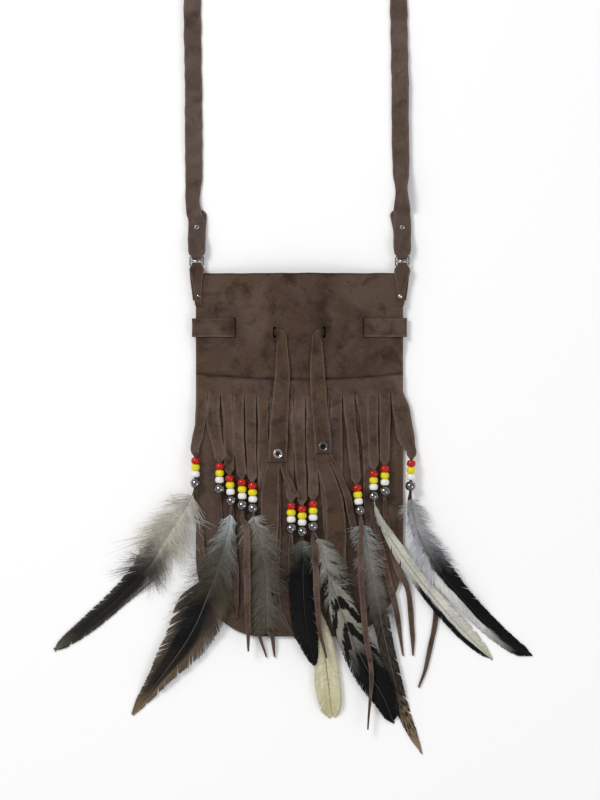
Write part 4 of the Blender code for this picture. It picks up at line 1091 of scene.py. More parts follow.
def strip_rows(index):
    """Rows of one strip as (x, y, width, share held at the beads' level, that level, freedom)."""
    stack, above, below = STRIPS[index]
    start_x = -HALF + FRINGE_SIDE + PITCH * (index + 0.5)
    start = (start_x, seam_y(start_x) - BAND_DEPTH, PITCH - STRIP_SLIT)
    broad = WIDER * BROAD_STRIPS.get(index, 1.0)
    upper = [start] + [(x * MM, y * MM, width * MM * broad) for x, y, width in above]
    lower = [millimetres(*point) for point in below]
    if stack is None:
        return [(*point, 0.0, 0.0, 1.0) for point in smooth_route(upper + lower, STRIP_STEP)[1:]]
    top, bottom = stack_frame(stack)
    along = (bottom - top).normalized()
    foot = top - along * BEAD_CLIMB
    land = bottom + along * BEAD_CLIMB
    under = top.z - FRINGE_THICK / 2
    foot_width = FOOT_WIDTH * BROAD_STRIPS.get(index, 1.0)
    route = smooth_route(upper + [(foot.x, foot.y, foot_width)], STRIP_STEP)[1:]
    rows = [(*point, 0.0, under, 1.0) for point in route]
    for number in range(1, SQUEEZE_STEPS + 1):
        share = number / SQUEEZE_STEPS
        place = foot.lerp(top - along * GAP, share)
        width = foot_width + (STRIP_NECK - foot_width) * smoothstep(share) ** 3
        rows.append((place.x, place.y, width, smoothstep(share), under, 1 - share))
    for share in (0.33, 0.66, 1.0):
        place = (top - along * GAP).lerp(bottom + along * GAP, share)
        rows.append((place.x, place.y, STRIP_NECK, 1.0, under, 0.0))
    for number in range(1, SQUEEZE_STEPS + 1):
        share = number / SQUEEZE_STEPS
        place = (bottom + along * GAP).lerp(land, share)
        width = STRIP_NECK + (LANDING_WIDTH - STRIP_NECK) * smoothstep(share)
        rows.append((place.x, place.y, width, 1 - smoothstep(share), under, share))
    route = smooth_route([(land.x, land.y, LANDING_WIDTH)] + lower, STRIP_STEP)[1:]
    rows += [(*point, 0.0, under, 1.0) for point in route]
    return rows


def strip_points(index):
    """Points of every row of a strip, each row from left to right."""
    rows = strip_rows(index)
    front = ball_centre(STRIPS[index][0]).y - BALL_RADIUS if index in FRONT_STRIPS else 0.0
    seed = index * 3.7
    run = 0.0
    points = []
    for number, (x, y, width, held, under, freedom) in enumerate(rows):
        before = rows[max(0, number - 1)]
        after = rows[min(len(rows) - 1, number + 1)]
        run += math.dist(before[:2], (x, y))
        heading = Vector((after[0] - before[0], after[1] - before[1], 0)).normalized()
        across = UP.cross(heading)
        beginning = smoothstep(run / (14 * MM)) * freedom
        sway = STRIP_SWAY * noise.noise(Vector((run / (30 * MM), seed, 0))) * beginning
        width *= 1 + STRIP_WANDER * noise.noise(Vector((run / (11 * MM), seed, 4.4))) * beginning
        lean = STRIP_LEAN * noise.noise(Vector((run / (34 * MM), seed, 8.8))) * beginning
        cup = (STRIP_CUP + CUP_CHANGE * noise.noise(Vector((run / (24 * MM), seed, 2.2)))) * beginning
        row = []
        for column in range(STRIP_COLUMNS + 1):
            share = 2 * column / STRIP_COLUMNS - 1
            place = Vector((x, y, 0)) + across * (width / 2 * share * math.cos(lean) + sway)
            rise = width / 2 * (math.sin(lean) * share + abs(math.sin(lean)) * 0.7)
            rise += cup * width * share * share
            lie = LIE_GAP
            if front:
                lie += (OVER_FEATHERS - LIE_GAP) * smoothstep((front - y) / (12 * MM))
            laid = rest_level(place.x, place.y) + lie + max(0.0, rise)
            place.z = laid + (under - laid) * held
            row.append(place)
        points.append(row)
    return points


def pull_strip(sheet, corners, rows):
    """Extrude a strip out of the edges between ordered corners, one row of points after another."""
    wear = sheet.verts.layers.float["rim"]
    edges = [sheet.edges.get(pair) for pair in zip(corners, corners[1:])]
    for number, row in enumerate(rows):
        grown = bmesh.ops.extrude_edge_only(sheet, edges=edges)["geom"]
        fresh = [part for part in grown if isinstance(part, bmesh.types.BMVert)]
        ordered = []
        for corner in corners:
            twin = min(fresh, key=lambda vert, at=corner.co: (vert.co - at).length_squared)
            fresh.remove(twin)
            ordered.append(twin)
        for column, (corner, point) in enumerate(zip(ordered, row)):
            corner.co = point
            side = column in (0, len(row) - 1)
            corner[wear] = 1.0 if side or number == len(rows) - 1 else 0.0
        corners = ordered
        edges = [sheet.edges.get(pair) for pair in zip(corners, corners[1:])]


def make_fringe():
    across = STRIP_COUNT * STRIP_COLUMNS

    def place(column, row):
        x = -HALF + FRINGE_SIDE + PITCH * column / STRIP_COLUMNS
        y = seam_y(x) - BAND_DEPTH * row / BAND_ROWS
        return Vector((x, y, rest_level(x, y) + LIE_GAP))

    def rim_of(column, row):
        return 1.0 if column in (0, across) else 0.0

    # Painted shade: the band's top row along the seam is painted dark, as the seam's shadow line.
    def stain_and_shade_of(column, row):
        return 0.6 if row == 0 else 0.0

    sheet = laid_grid(across, BAND_ROWS, place, rim_of, stain_and_shade_of)
    lowest = {}
    for corner in sheet.verts:
        column = (corner.co.x + HALF - FRINGE_SIDE) / PITCH * STRIP_COLUMNS
        above = corner.co.y - seam_y(corner.co.x) + BAND_DEPTH
        if abs(column - round(column)) < 0.01 and abs(above) < 0.01 * MM:
            lowest[round(column)] = corner
    for index in range(STRIP_COUNT):
        corners = [lowest[index * STRIP_COLUMNS + column] for column in range(STRIP_COLUMNS + 1)]
        pull_strip(sheet, corners, strip_points(index))
    bmesh.ops.recalc_face_normals(sheet, faces=sheet.faces)
    if sum(face.normal.z for face in sheet.faces) < 0:
        bmesh.ops.reverse_faces(sheet, faces=sheet.faces)
    item = object_from("fringe_suede", sheet, fringe_suede)
    thicken(item, FRINGE_THICK, 1, THIN_EDGE)
    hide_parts("fringe_panel")
    print("fringe", STRIP_COUNT, "strips,", len(item.data.polygons), "faces")


make_fringe()

# %% [markdown]
# Each end of the drawstring carries a tassel, a scrap of suede with two tongues. It lies under the
# thong, and the eyelet clamps the two together. Its head is a small grid, and the tongues are pulled
# out of the head in the same way as the fringe's strips.

# %% The tassels
TASSEL_HEAD = 13 * MM
TASSEL_SPLIT = 8 * MM
TASSEL_CURL = 5 * MM
TASSEL_WANDER = 0.08
TASSEL_CUP = 0.05
HEAD_COLUMNS = 13
HEAD_ROWS = 12
TASSEL_LEGS = {
    "left": [[(-20.6, -14, 11), (-22, -36, 14), (-22.5, -78, 12)],
             [(-11.0, -13, 5), (-6.5, -22, 5), (-2.5, -31, 4.5)]],
    "right": [[(18.3, -9, 10.5), (25.0, -30, 13), (27, -50, 15), (27.4, -78, 15)],
              [(27.3, -10, 4.5), (35.6, -30, 5.5), (37.8, -42, 5.5), (41.6, -56, 5.5), (53, -77, 5.5)]],
}


def make_tassel(side):
    eyelet_x, eyelet_y = EYELETS[side]
    edge = TASSEL_HEAD / 2
    split = round(TASSEL_SPLIT / TASSEL_HEAD * HEAD_COLUMNS)

    def place(column, row):
        x = eyelet_x - edge + TASSEL_HEAD * column / HEAD_COLUMNS
        y = eyelet_y + edge - TASSEL_HEAD * row / HEAD_ROWS
        return Vector((x, y, rest_level(x, y) + TASSEL_LOW))

    def rim_of(column, row):
        return 1.0 if column in (0, HEAD_COLUMNS) or row == 0 else 0.0

    sheet = laid_grid(HEAD_COLUMNS, HEAD_ROWS, place, rim_of)
    low_y = eyelet_y - edge
    lowest = [vert for vert in sheet.verts if abs(vert.co.y - low_y) < 0.01 * MM]
    lowest.sort(key=lambda vert: vert.co.x)
    legs = sorted(TASSEL_LEGS[side], key=lambda leg: leg[0][0])
    for leg, (first, last) in zip(legs, ((0, split), (split, HEAD_COLUMNS))):
        corners = lowest[first:last + 1]
        middle = (corners[0].co + corners[-1].co) / 2
        start = (middle.x, low_y, (corners[-1].co - corners[0].co).length)
        route = smooth_route([start] + [millimetres(*point) for point in leg], 2 * MM)[1:]
        curls = side == "left" and leg is legs[1]
        rows = []
        for number, (x, y, width) in enumerate(route):
            curl = TASSEL_CURL * smoothstep(number / (len(route) - 1)) if curls else 0.0
            wave = 1 + TASSEL_WANDER * noise.noise(Vector((number / 5, x / MM, 0)))
            cup = TASSEL_CUP * smoothstep(number / 8)
            row = []
            for column in range(len(corners)):
                share = 2 * column / (len(corners) - 1) - 1
                at_x = x + width * wave / 2 * share
                level = rest_level(at_x, y) + TASSEL_LOW + curl + cup * width * share * share
                row.append(Vector((at_x, y, level)))
            rows.append(row)
        pull_strip(sheet, corners, rows)
    if sum(face.normal.z for face in sheet.faces) < 0:
        bmesh.ops.reverse_faces(sheet, faces=sheet.faces)
    bmesh.ops.recalc_face_normals(sheet, faces=sheet.faces)
    item = object_from(f"tassel_suede_{side}", sheet, thong_suede)
    thicken(item, TASSEL_THICK, 1, THIN_EDGE)
    pierce_for_eyelet(item, side)
    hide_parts(f"tassel_{side}")


make_tassel("left")
make_tassel("right")
print("two tassels")

# %% [markdown]
# ## Metal
# Eyelets, rivets, links and balls are nickel plated. They are turned or bent pieces, so each is a
# profile that is spun round an axis, or a wire that follows a frame. The finish is bright, with fine
# scratches and a faint tarnish that a noise moves about; a darker copy of the nickel on some pieces is
# painted shade, and the balls' dark grey is a painted dark reflection.

# %% Metal finish and turned pieces
def metal(name, colour, dull, rough):
    material, tree, shader = shader_of(name)
    place = add_node(tree, "ShaderNodeTexCoord").outputs["Object"]
    tarnish = noise_value(tree, place, 420, 4, 0.6)
    scratch = noise_value(tree, place, 3500, 2, 0.5, 1.5)
    tone = mix_colour(tree, map_range(tree, tarnish, 0.45, 0.7), (*colour, 1), (*dull, 1))
    worn = map_range(tree, scratch, 0.3, 0.7, rough * 0.6, rough * 1.5)
    bump(tree, shader, scratch, 0.02 * MM, 0.3)
    feed(tree, shader, Base_Color=tone, Roughness=worn, Metallic=1.0)
    return material


nickel = metal("nickel", (0.82, 0.82, 0.83), (0.62, 0.61, 0.60), 0.16)
# A darker copy of the same nickel, as painted shade: it finishes the right eyelet, the left tab rivet and the
# links' frames.
nickel_painted_shade = metal("nickel_painted_shade", (0.30, 0.29, 0.28), (0.16, 0.15, 0.14), 0.18)
# The balls' silver is set dark grey, a painted dark reflection, so that only the lamps' highlights show
# bright on them.
ball_silver = metal("ball_silver", (0.42, 0.40, 0.42), (0.22, 0.205, 0.22), 0.09)
cream_rivet = metal("rivet_brass", (0.80, 0.76, 0.62), (0.60, 0.54, 0.40), 0.30)


def turned_sheet(profile, steps):
    """Spin a closed profile of (radius, height) round the Z axis."""
    sheet = bmesh.new()
    corners = [sheet.verts.new((radius, 0, height)) for radius, height in profile]
    edges = [sheet.edges.new(pair) for pair in zip(corners, corners[1:] + corners[:1])]
    bmesh.ops.spin(sheet, geom=corners + edges, axis=UP, cent=(0, 0, 0), angle=2 * math.pi, steps=steps,
                   use_merge=True)
    bmesh.ops.remove_doubles(sheet, verts=sheet.verts, dist=0.001 * MM)
    bmesh.ops.recalc_face_normals(sheet, faces=sheet.faces)
    return sheet


def turned(name, profile, place, material, body="root", steps=32, round_edge=0.08 * MM):
    sheet = turned_sheet(profile, steps)
    if round_edge:
        sharp = [edge for edge in sheet.edges
                 if edge.is_manifold and edge.calc_face_angle() > math.radians(35)]
        bmesh.ops.bevel(sheet, geom=sharp, offset=round_edge, segments=2, profile=0.5, affect="EDGES",
                        material=-1)
    bmesh.ops.transform(sheet, matrix=place, verts=sheet.verts)
    return object_from(name, sheet, material, body)


EYELET_BORE = 1.7 * MM
EYELET_SHANK = 2.0 * MM
EYELET_RIM = 0.24
RIVET_RIM = 0.35


def ring_profile(bore, shank, flange, low, high, rim):
    """Section of a clamped tube rivet: a rolled rim above and below, with a bore through it. Rim is the
    share of the flange that lies outside its crest."""
    roll = FLANGE_THICK
    top = high + roll
    crest = flange - rim * (flange - bore)
    return [(bore, low), (bore, high - 1.2 * roll), (bore + 0.35 * (crest - bore), high - 0.1 * roll),
            (crest - 0.5 * roll, top - 0.25 * roll), (crest, top), (flange - 0.7 * roll, top - 0.25 * roll),
            (flange, high + 0.2 * roll), (flange - 0.2 * roll, high), (shank, high), (shank, low + roll),
            (flange, low + roll), (flange, low + 0.2 * roll), (flange - 0.4 * roll, low)]


for (side, (x, y)), finish in zip(EYELETS.items(), (nickel, nickel_painted_shade)):
    profile = ring_profile(EYELET_BORE, EYELET_SHANK, EYELET_FLANGE, FLANGE_LOW, FLANGE_HIGH, EYELET_RIM)
    place = Matrix.Translation((x, y, rest_level(x, y)))
    eyelet = turned(f"eyelet_metal_{side}", profile, place, finish, steps=40)
    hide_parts(f"eyelet_{side}")
for side, finish in (("left", nickel), ("right", cream_rivet)):
    low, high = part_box(f"strap_rivet_{side}")
    flange = (high[0] - low[0]) / 2
    profile = ring_profile(0.7 * MM, 1.2 * MM, flange, low[2], high[2] - FLANGE_THICK, RIVET_RIM)
    place = Matrix.Translation(((low[0] + high[0]) / 2, (low[1] + high[1]) / 2, 0))
    rivet = turned(f"strap_rivet_metal_{side}", profile, place, finish, "strap", steps=28)
    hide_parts(f"strap_rivet_{side}")
    low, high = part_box(f"tab_rivet_{side}")
    flange = (high[0] - low[0]) / 2
    rise = FLANGE_THICK
    dome = [(0.02 * MM, high[2]), (flange * 0.55, high[2] - 0.12 * rise),
            (flange * 0.9, high[2] - 0.5 * rise), (flange, high[2] - rise), (0.9 * MM, high[2] - rise),
            (0.9 * MM, low[2] + rise), (flange, low[2] + rise), (flange, low[2]), (0.02 * MM, low[2])]
    place = Matrix.Translation(((low[0] + high[0]) / 2, (low[1] + high[1]) / 2, 0))
    finish = nickel_painted_shade if side == "left" else nickel
    rivet = turned(f"tab_rivet_metal_{side}", dome, place, finish, steps=24, round_edge=0)
    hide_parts(f"tab_rivet_{side}")
print("eyelets and rivets")

# %% [markdown]
# A link is a small wire frame with a bar across its middle. The wire is a circle that is carried
# along the frame and joined to itself, and the bar is a short straight wire.

# %% Wires and the links
LINK_CORNER = 1.1 * MM
FRAME_WIRE = 0.8              # wire of the frame and of the bar, beside half the link's thickness
BAR_WIRE = 1.1


def carry_ring(points, radii, segments, closed=False):
    """A tube: a circle set square to the course at each point, each ring bridged to the last."""
    sheet = bmesh.new()
    count = len(points)
    rings = []
    for number, (point, radius) in enumerate(zip(points, radii)):
        if closed:
            before, after = points[number - 1], points[(number + 1) % count]
        else:
            before, after = points[max(0, number - 1)], points[min(count - 1, number + 1)]
        heading = (after - before).normalized()
        turn = heading.to_track_quat("Z", "Y").to_matrix().to_4x4()
        made = bmesh.ops.create_circle(sheet, segments=segments, radius=radius, cap_ends=False,
                                       matrix=Matrix.Translation(point) @ turn)
        rings.append({edge for vert in made["verts"] for edge in vert.link_edges})
    pairs = list(zip(rings, rings[1:])) + ([(rings[-1], rings[0])] if closed else [])
    for first, second in pairs:
        bmesh.ops.bridge_loops(sheet, edges=list(first | second))
    if not closed:
        bmesh.ops.holes_fill(sheet, edges=[edge for edge in sheet.edges if edge.is_boundary])
    bmesh.ops.recalc_face_normals(sheet, faces=sheet.faces)
    return sheet


def make_link(side):
    low, high = (Vector(corner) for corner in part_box(f"ring_{side}"))
    centre = (low + high) / 2
    wire = (high.z - low.z) / 2
    reach_x = (high.x - low.x) / 2 - wire
    reach_y = (high.y - low.y) / 2 - wire
    points = []
    for turn, (x_sign, y_sign) in enumerate(((1, 1), (-1, 1), (-1, -1), (1, -1))):
        for step in range(5):
            angle = math.pi / 2 * (turn + step / 4)
            x = x_sign * (reach_x - LINK_CORNER) + LINK_CORNER * math.cos(angle)
            y = y_sign * (reach_y - LINK_CORNER) + LINK_CORNER * math.sin(angle)
            points.append(centre + Vector((x, y, 0)))
    sheet = carry_ring(points, [wire * FRAME_WIRE] * len(points), 12, closed=True)
    frame_part = object_from(f"link_frame_{side}", sheet, nickel_painted_shade, "links")
    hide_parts(f"ring_{side}")
    bar = [centre - ALONG_X * reach_x, centre + ALONG_X * reach_x]
    item = object_from(f"link_bar_{side}", carry_ring(bar, [wire * BAR_WIRE] * 2, 12), nickel, "links")


make_link("left")
make_link("right")
print("two links")

# %% [markdown]
# ## Beads and balls
# The pony beads are short barrels with a wide bore, red over yellow over white. The silver ball under
# them is pierced too, with a small worn dimple round each hole. Each is spun from its own profile, and
# each bead is tipped a degree or two, since nothing holds a bead quite square on its thong.

# %% Bead and ball finishes
def bead_finish(name, colour, deep):
    material, tree, shader = shader_of(name)
    place = add_node(tree, "ShaderNodeTexCoord").outputs["Object"]
    swirl = noise_value(tree, place, 300, 3, 0.6, 1.0)
    speck = noise_value(tree, place, 2600, 2, 0.5)
    tone = mix_colour(tree, map_range(tree, swirl, 0.40, 0.70), (*colour, 1), (*deep, 1))
    worn = map_range(tree, speck, 0.3, 0.7, 0.10, 0.22)
    bump(tree, shader, swirl, 0.08 * MM, 0.25)
    feed(tree, shader, Base_Color=tone, Roughness=worn, Specular_IOR_Level=0.4, Coat_Weight=0.25,
         Coat_Roughness=0.08)
    return material


BEAD_FINISHES = {
    "red": bead_finish("bead_red_glass", (0.52, 0.012, 0.006), (0.30, 0.007, 0.004)),
    "yellow": bead_finish("bead_yellow_glass", (0.80, 0.72, 0.008), (0.62, 0.52, 0.006)),
    "white": bead_finish("bead_white_glass", (0.84, 0.84, 0.81), (0.72, 0.73, 0.70)),
}
BEAD_BORE = 1.4 * MM
BEAD_LIP = 0.35 * MM          # flat rim round the bore
BEAD_ROUNDNESS = 0.95
BALL_BORE = 2.2 * MM
BALL_LIP = 0.12 * MM
BALL_LIP_DEPTH = 0.25 * MM


def bead_profile(length, radius):
    """Round-shouldered barrel with a softened bore, as a closed outline."""
    inner = BEAD_BORE + BEAD_LIP
    outline = []
    for number in range(13):
        angle = math.pi * number / 12
        bulge = abs(math.sin(angle)) ** BEAD_ROUNDNESS
        outline.append((inner + (radius - inner) * bulge, length / 2 * math.cos(angle)))
    soft = BEAD_BORE + 0.08 * MM
    end = length / 2 - 0.12 * MM
    return outline + [(soft, -end), (BEAD_BORE, -length / 4), (BEAD_BORE, length / 4), (soft, end)]


def ball_profile():
    first = math.asin(BALL_BORE / BALL_RADIUS)
    outline = []
    for number in range(17):
        angle = first + (math.pi - 2 * first) * number / 16
        outline.append((BALL_RADIUS * math.sin(angle), BALL_RADIUS * math.cos(angle)))
    end = BALL_RADIUS * math.cos(first)
    lip = BALL_BORE - BALL_LIP
    return outline + [(lip, -end + BALL_LIP_DEPTH), (lip, end - BALL_LIP_DEPTH)]


def axis_place(centre, along, tip=(0.0, 0.0)):
    turn = (-along).to_track_quat("Z", "Y").to_matrix().to_4x4()
    lean = Matrix.Rotation(tip[0], 4, "X") @ Matrix.Rotation(tip[1], 4, "Y")
    return Matrix.Translation(centre) @ turn @ lean


chance = random.Random(12)
stacks = [stack for stack, *_ in STRIPS if stack]
for number, stack in enumerate(stacks, start=1):
    top, bottom = stack_frame(stack)
    along = (bottom - top).normalized()
    for order, (colour, finish) in enumerate(BEAD_FINISHES.items()):
        centre = top + along * BEAD_LENGTH * (order + 0.5)
        size = 1 + chance.uniform(-0.03, 0.01)
        tip = (chance.uniform(-0.03, 0.03), chance.uniform(-0.03, 0.03))
        profile = bead_profile(BEAD_LENGTH * 0.97, BEAD_RADIUS * size)
        bead = turned(f"bead_{colour}_{number}", profile, axis_place(centre, along, tip), finish, steps=28,
                      round_edge=0)
        if colour == "red":
            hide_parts(f"bead_stack_{number}")
    ball = turned(f"ball_silver_{number}", ball_profile(), axis_place(ball_centre(stack), along), ball_silver,
                  steps=36, round_edge=0)
    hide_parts(f"ball_{number}")
print(len(stacks), "stacks of three beads, each with a ball")

# %% [markdown]
# ## Feathers
# A feather is a shaft with hundreds of barbs on each side. Near the quill the barbs are loose down,
# and further out they hook together into a smooth vane, which splits here and there. One grid gives a
# side of barbs: its long lines are cut apart with the split operator, so that each row of squares
# becomes one barb, and every barb is then laid along its own curve. Two shares are kept on each barb,
# how far along the shaft it grows and how far out a point lies, and the finish is painted from them.

# %% The feathers' courses
BARB_WALL = 0.07 * MM
FEATHER_THICK = 0.7 * MM
FEATHER_LOW = TASSEL_LOW + TASSEL_THICK + LIE_GAP
FEATHER_LAYER = 1.4 * MM
QUILL_RISE = 0.75 * MM
# Per feather: its strip, its layer, the share of its length from which it lies on the floor, and its
# shaft's points in millimetres as (x, y, width to the left, width to the right).
FEATHERS = {
    1: (0, 0, 0.40, [(-82, -34, 3, 3), (-95.6, -56, 15, 14), (-110.6, -80, 10, 10), (-130.9, -102.8, 8, 7),
                     (-155.6, -125, 6.5, 6), (-184, -146.8, 2.5, 2.5)]),
    2: (2, 0, 0.75, [(-51.5, -44, 2.5, 2.5), (-53.6, -58, 9, 8), (-59.6, -78, 15, 15), (-67, -101, 20, 18),
                     (-80.6, -132.8, 16, 14), (-100.9, -162.8, 9, 7), (-125.6, -195.8, 2, 1.5)]),
    3: (4, 0, 0.95, [(-33.4, -50, 2.5, 2.5), (-28.5, -71, 7, 8), (-25.5, -101, 8, 8), (-25, -132.8, 2, 2)]),
    4: (7, 0, 0.85, [(-4.6, -68, 2, 2), (-1.6, -80, 4, 4), (6.4, -108.8, 6, 6), (16.9, -138.8, 8, 8),
                     (21.4, -168.8, 10, 9), (24.8, -196.5, 4, 4)]),
    5: (8, 1, 1.5, [(2.6, -67.5, 7, 7), (2.6, -82, 10, 9), (2.8, -98, 11, 10), (4.9, -127.5, 9, 8),
                    (11.6, -158, 1.5, 1.5)]),
    6: (9, 1, 0.85, [(14.4, -65, 2, 4), (23.5, -93.8, 6, 9), (34, -123.8, 11, 13), (49, -157.5, 11, 13),
                     (64, -183.8, 7, 7), (70.9, -202, 1.5, 1.5)]),
    7: (12, 0, 0.65, [(47.4, -54, 2.5, 2.5), (50.4, -70, 8, 8), (56.6, -101, 7, 7), (62.6, -131, 6, 6),
                      (69.4, -161, 6, 5.5), (79, -195, 4.5, 4.5), (92.4, -225.5, 1, 1)]),
    8: (14, 0, 0.65, [(58.9, -45, 2, 2), (71.6, -67.5, 5, 5), (87.4, -90, 6, 6), (105.4, -112.5, 6.5, 6.5),
                      (124, -132.8, 6, 6), (145, -153.8, 1.5, 1.5)]),
    9: (16, 1, 0.55, [(84.4, -37.5, 4, 4), (88.9, -56, 9, 9), (99.4, -78.8, 10, 10), (116.6, -101, 8, 8),
                      (139, -125, 7, 7), (159.4, -142.5, 5, 5), (175.4, -151.3, 1, 1)]),
}


class Course:
    """A feather's shaft, read at any share of its length, and the level that it lies at."""

    def __init__(self, number):
        strip, layer, self.settle, spine = FEATHERS[number]
        stack = STRIPS[strip][0]
        top, bottom = stack_frame(stack)
        along = (bottom - top).normalized()
        centre = ball_centre(stack)
        self.quill = centre.z + QUILL_RISE
        self.lie = FEATHER_LOW + layer * FEATHER_LAYER + FEATHER_THICK / 2
        out = centre + along * BALL_RADIUS * 0.4
        points = [(out.x, out.y, 0.4 * MM, 0.4 * MM)] + [millimetres(*point) for point in spine]
        self.rows = smooth_route(points, 1.5 * MM)
        self.runs = [0.0]
        for start, end in zip(self.rows, self.rows[1:]):
            self.runs.append(self.runs[-1] + math.dist(start[:2], end[:2]))
        self.length = self.runs[-1]

    def at(self, share):
        """Point, heading, left width and right width at a share of the length."""
        run = max(0.0, min(1.0, share)) * self.length
        index = min(len(self.rows) - 2, max(0, int(share * (len(self.rows) - 1)) - 3))
        while index < len(self.rows) - 2 and self.runs[index + 1] < run:
            index += 1
        while index > 0 and self.runs[index] > run:
            index -= 1
        part = (run - self.runs[index]) / (self.runs[index + 1] - self.runs[index])
        x, y, left, right = (a + (b - a) * part for a, b in zip(self.rows[index], self.rows[index + 1]))
        last = self.rows[min(len(self.rows) - 1, index + 2)]
        first = self.rows[max(0, index - 1)]
        heading = Vector((last[0] - first[0], last[1] - first[1], 0)).normalized()
        return Vector((x, y, 0)), heading, left, right

    def level(self, place, share):
        lie = self.lie + (LIE_GAP + FEATHER_THICK / 2 - self.lie) * smoothstep((share - self.settle) / 0.15)
        held = 1 - smoothstep(share * self.length / (12 * MM))
        laid = rest_level(place.x, place.y) + lie
        return laid + (self.quill - laid) * held


# %% [markdown]
# The vane's barbs leave the shaft at a slant and bend towards the tip. They cling in small bunches,
# and between two bunches the vane opens in a notch. The down's barbs are finer, longer and curled,
# and each goes its own way.

# %% Barbs
BARB_SQUARES = 5
BARB_PITCH = 0.42 * MM
VANE_SLANT = 0.62
VANE_ARCH = 0.10
VANE_GAPS = 0.32              # how far the bunches of barbs pull apart
VANE_TIP = 0.88               # share of the length from which the vane rounds off
DOWN_PITCH = 0.32 * MM
DOWN_WIDTH = 0.34 * MM
DOWN_TIP = 0.72
DOWN_LEAST = 5 * MM           # shortest barbs of the down, before their tuft's own length


def barb_rows(count, place_of, width_of, along_of):
    """Separate barbs from one grid. Each is a narrow strip of squares laid by place_of."""
    sheet = bmesh.new()
    bmesh.ops.create_grid(sheet, x_segments=BARB_SQUARES, y_segments=count, size=0.5)
    between = []
    for edge in sheet.edges:
        first, second = edge.verts
        if abs(first.co.y - second.co.y) < 1e-6 and edge.is_manifold:
            between.append(edge)
    bmesh.ops.split_edges(sheet, edges=between)
    painted = sheet.loops.layers.uv.new("barb")
    moves = []
    for face in sheet.faces:
        barb = int((face.calc_center_median().y + 0.5) * count)
        for loop in face.loops:
            out = loop.vert.co.x + 0.5
            moves.append((loop.vert, barb, out, loop.vert.co.y * count + count / 2 - barb))
            loop[painted].uv = along_of(barb, out)
    for vert, barb, out, side in moves:
        point, across = place_of(barb, out)
        vert.co = point + across * width_of(out) * (side - 0.5)
    return sheet


def tip_round(share, from_share):
    """One, until the vane's end, then less and less as an ellipse does."""
    past = max(0.0, min(1.0, (share - from_share) / (1 - from_share)))
    return math.sqrt(1 - past * past)


def barb_shares(start, finish, count, sign):
    """The share of the shaft at which each barb grows, and the painted shares of a point on it."""
    def share_of(barb):
        return start + (finish - start) * (barb + 0.5) / count

    def along_of(barb, out):
        return (share_of(barb), 0.5 + sign * 0.5 * out)

    return share_of, along_of


def vane_side(course, sign, start, finish, seed):
    """Barbs of the smooth vane on one side of the shaft, between two shares of its length."""
    count = max(8, round((finish - start) * course.length / BARB_PITCH))
    chance = random.Random(seed)
    bunches = []
    while len(bunches) < count:
        size = chance.randint(6, 34)
        pull = chance.random() ** 2 * VANE_GAPS
        first = len(bunches)
        bunches += [(first + size / 2, pull)] * size
    lift = [chance.uniform(-0.06, 0.06) * MM for _ in range(count)]
    reach = [1 + chance.uniform(-0.05, 0.04) for _ in range(count)]
    share_of, along_of = barb_shares(start, finish, count, sign)

    def place_of(barb, out):
        share = share_of(barb)
        root, heading, left, right = course.at(share)
        width = (left if sign < 0 else right) * reach[barb] * max(0.05, tip_round(share, VANE_TIP))
        across = UP.cross(heading) * sign
        middle, pull = bunches[barb]
        slope = VANE_SLANT * (1 + 0.5 * smoothstep((share - 0.75) / 0.25))
        forward = width * slope * 1.6 * out ** 1.35
        forward -= (barb - middle) * BARB_PITCH * pull * out ** 2
        point = root + across * width * out ** 0.92 + heading * forward
        point.z = course.level(point, share) + lift[barb] + VANE_ARCH * width * out * (1 - out)
        return point, (heading * 0.85 - across * 0.5).normalized()

    def width_of(out):
        return BARB_PITCH * (1.45 - 0.75 * out ** 2)

    return barb_rows(count, place_of, width_of, along_of)


def down_side(course, sign, start, finish, seed, reach, density, lift):
    """Loose barbs of the down on one side of the shaft, in tufts that part from each other."""
    count = max(6, round((finish - start) * course.length / DOWN_PITCH * density))
    chance = random.Random(seed)
    habits = []
    while len(habits) < count:
        tuft_long = chance.uniform(0.6, 1.15)
        tuft_lean = chance.uniform(-0.25, 0.9)
        tuft_curl = chance.uniform(-0.9, 0.9)
        for _ in range(chance.randint(6, 18)):
            habits.append((tuft_long * chance.uniform(0.7, 1.12), tuft_lean + chance.uniform(-0.28, 0.28),
                           tuft_curl + chance.uniform(-0.5, 0.5), chance.uniform(0, 1),
                           chance.uniform(0, 1.6)))
    share_of, along_of = barb_shares(start, finish, count, sign)

    def place_of(barb, out):
        share = share_of(barb)
        root, heading, left, right = course.at(share)
        long, lean, curl, high, phase = habits[barb]
        width = max((left if sign < 0 else right) + 1.5 * MM, DOWN_LEAST * reach ** 2) * long * reach
        width *= max(0.3, tip_round(share, DOWN_TIP))
        across = UP.cross(heading) * sign
        forward = width * (0.35 + lean) * out ** 1.2
        sway = width * 0.16 * curl * math.sin(3.2 * out + phase) * out
        sideways = width * out * (1 - 0.18 * abs(curl) * out)
        point = root + across * sideways + heading * (forward + sway)
        arch = lift * MM * high * math.sin(math.pi * min(1.0, out * 0.9))
        point.z = course.level(point, share) + arch
        return point, (heading * 0.8 - across * 0.4 * (1 + curl)).normalized()

    def width_of(out):
        return DOWN_WIDTH * (1 - 0.65 * out)

    return barb_rows(count, place_of, width_of, along_of)


def gather(target, extra):
    """Add one bmesh to another, with its painted shares."""
    mesh = bpy.data.meshes.new("gather")
    extra.to_mesh(mesh)
    extra.free()
    target.from_mesh(mesh)
    bpy.data.meshes.remove(mesh)


# %% [markdown]
# Each feather's finish is painted from the two shares. A ramp along the shaft gives the main colours
# from the down to the tip, a second one may colour one side, and bars can cross the vane. A shared
# group adds the fine streak of the barbs.

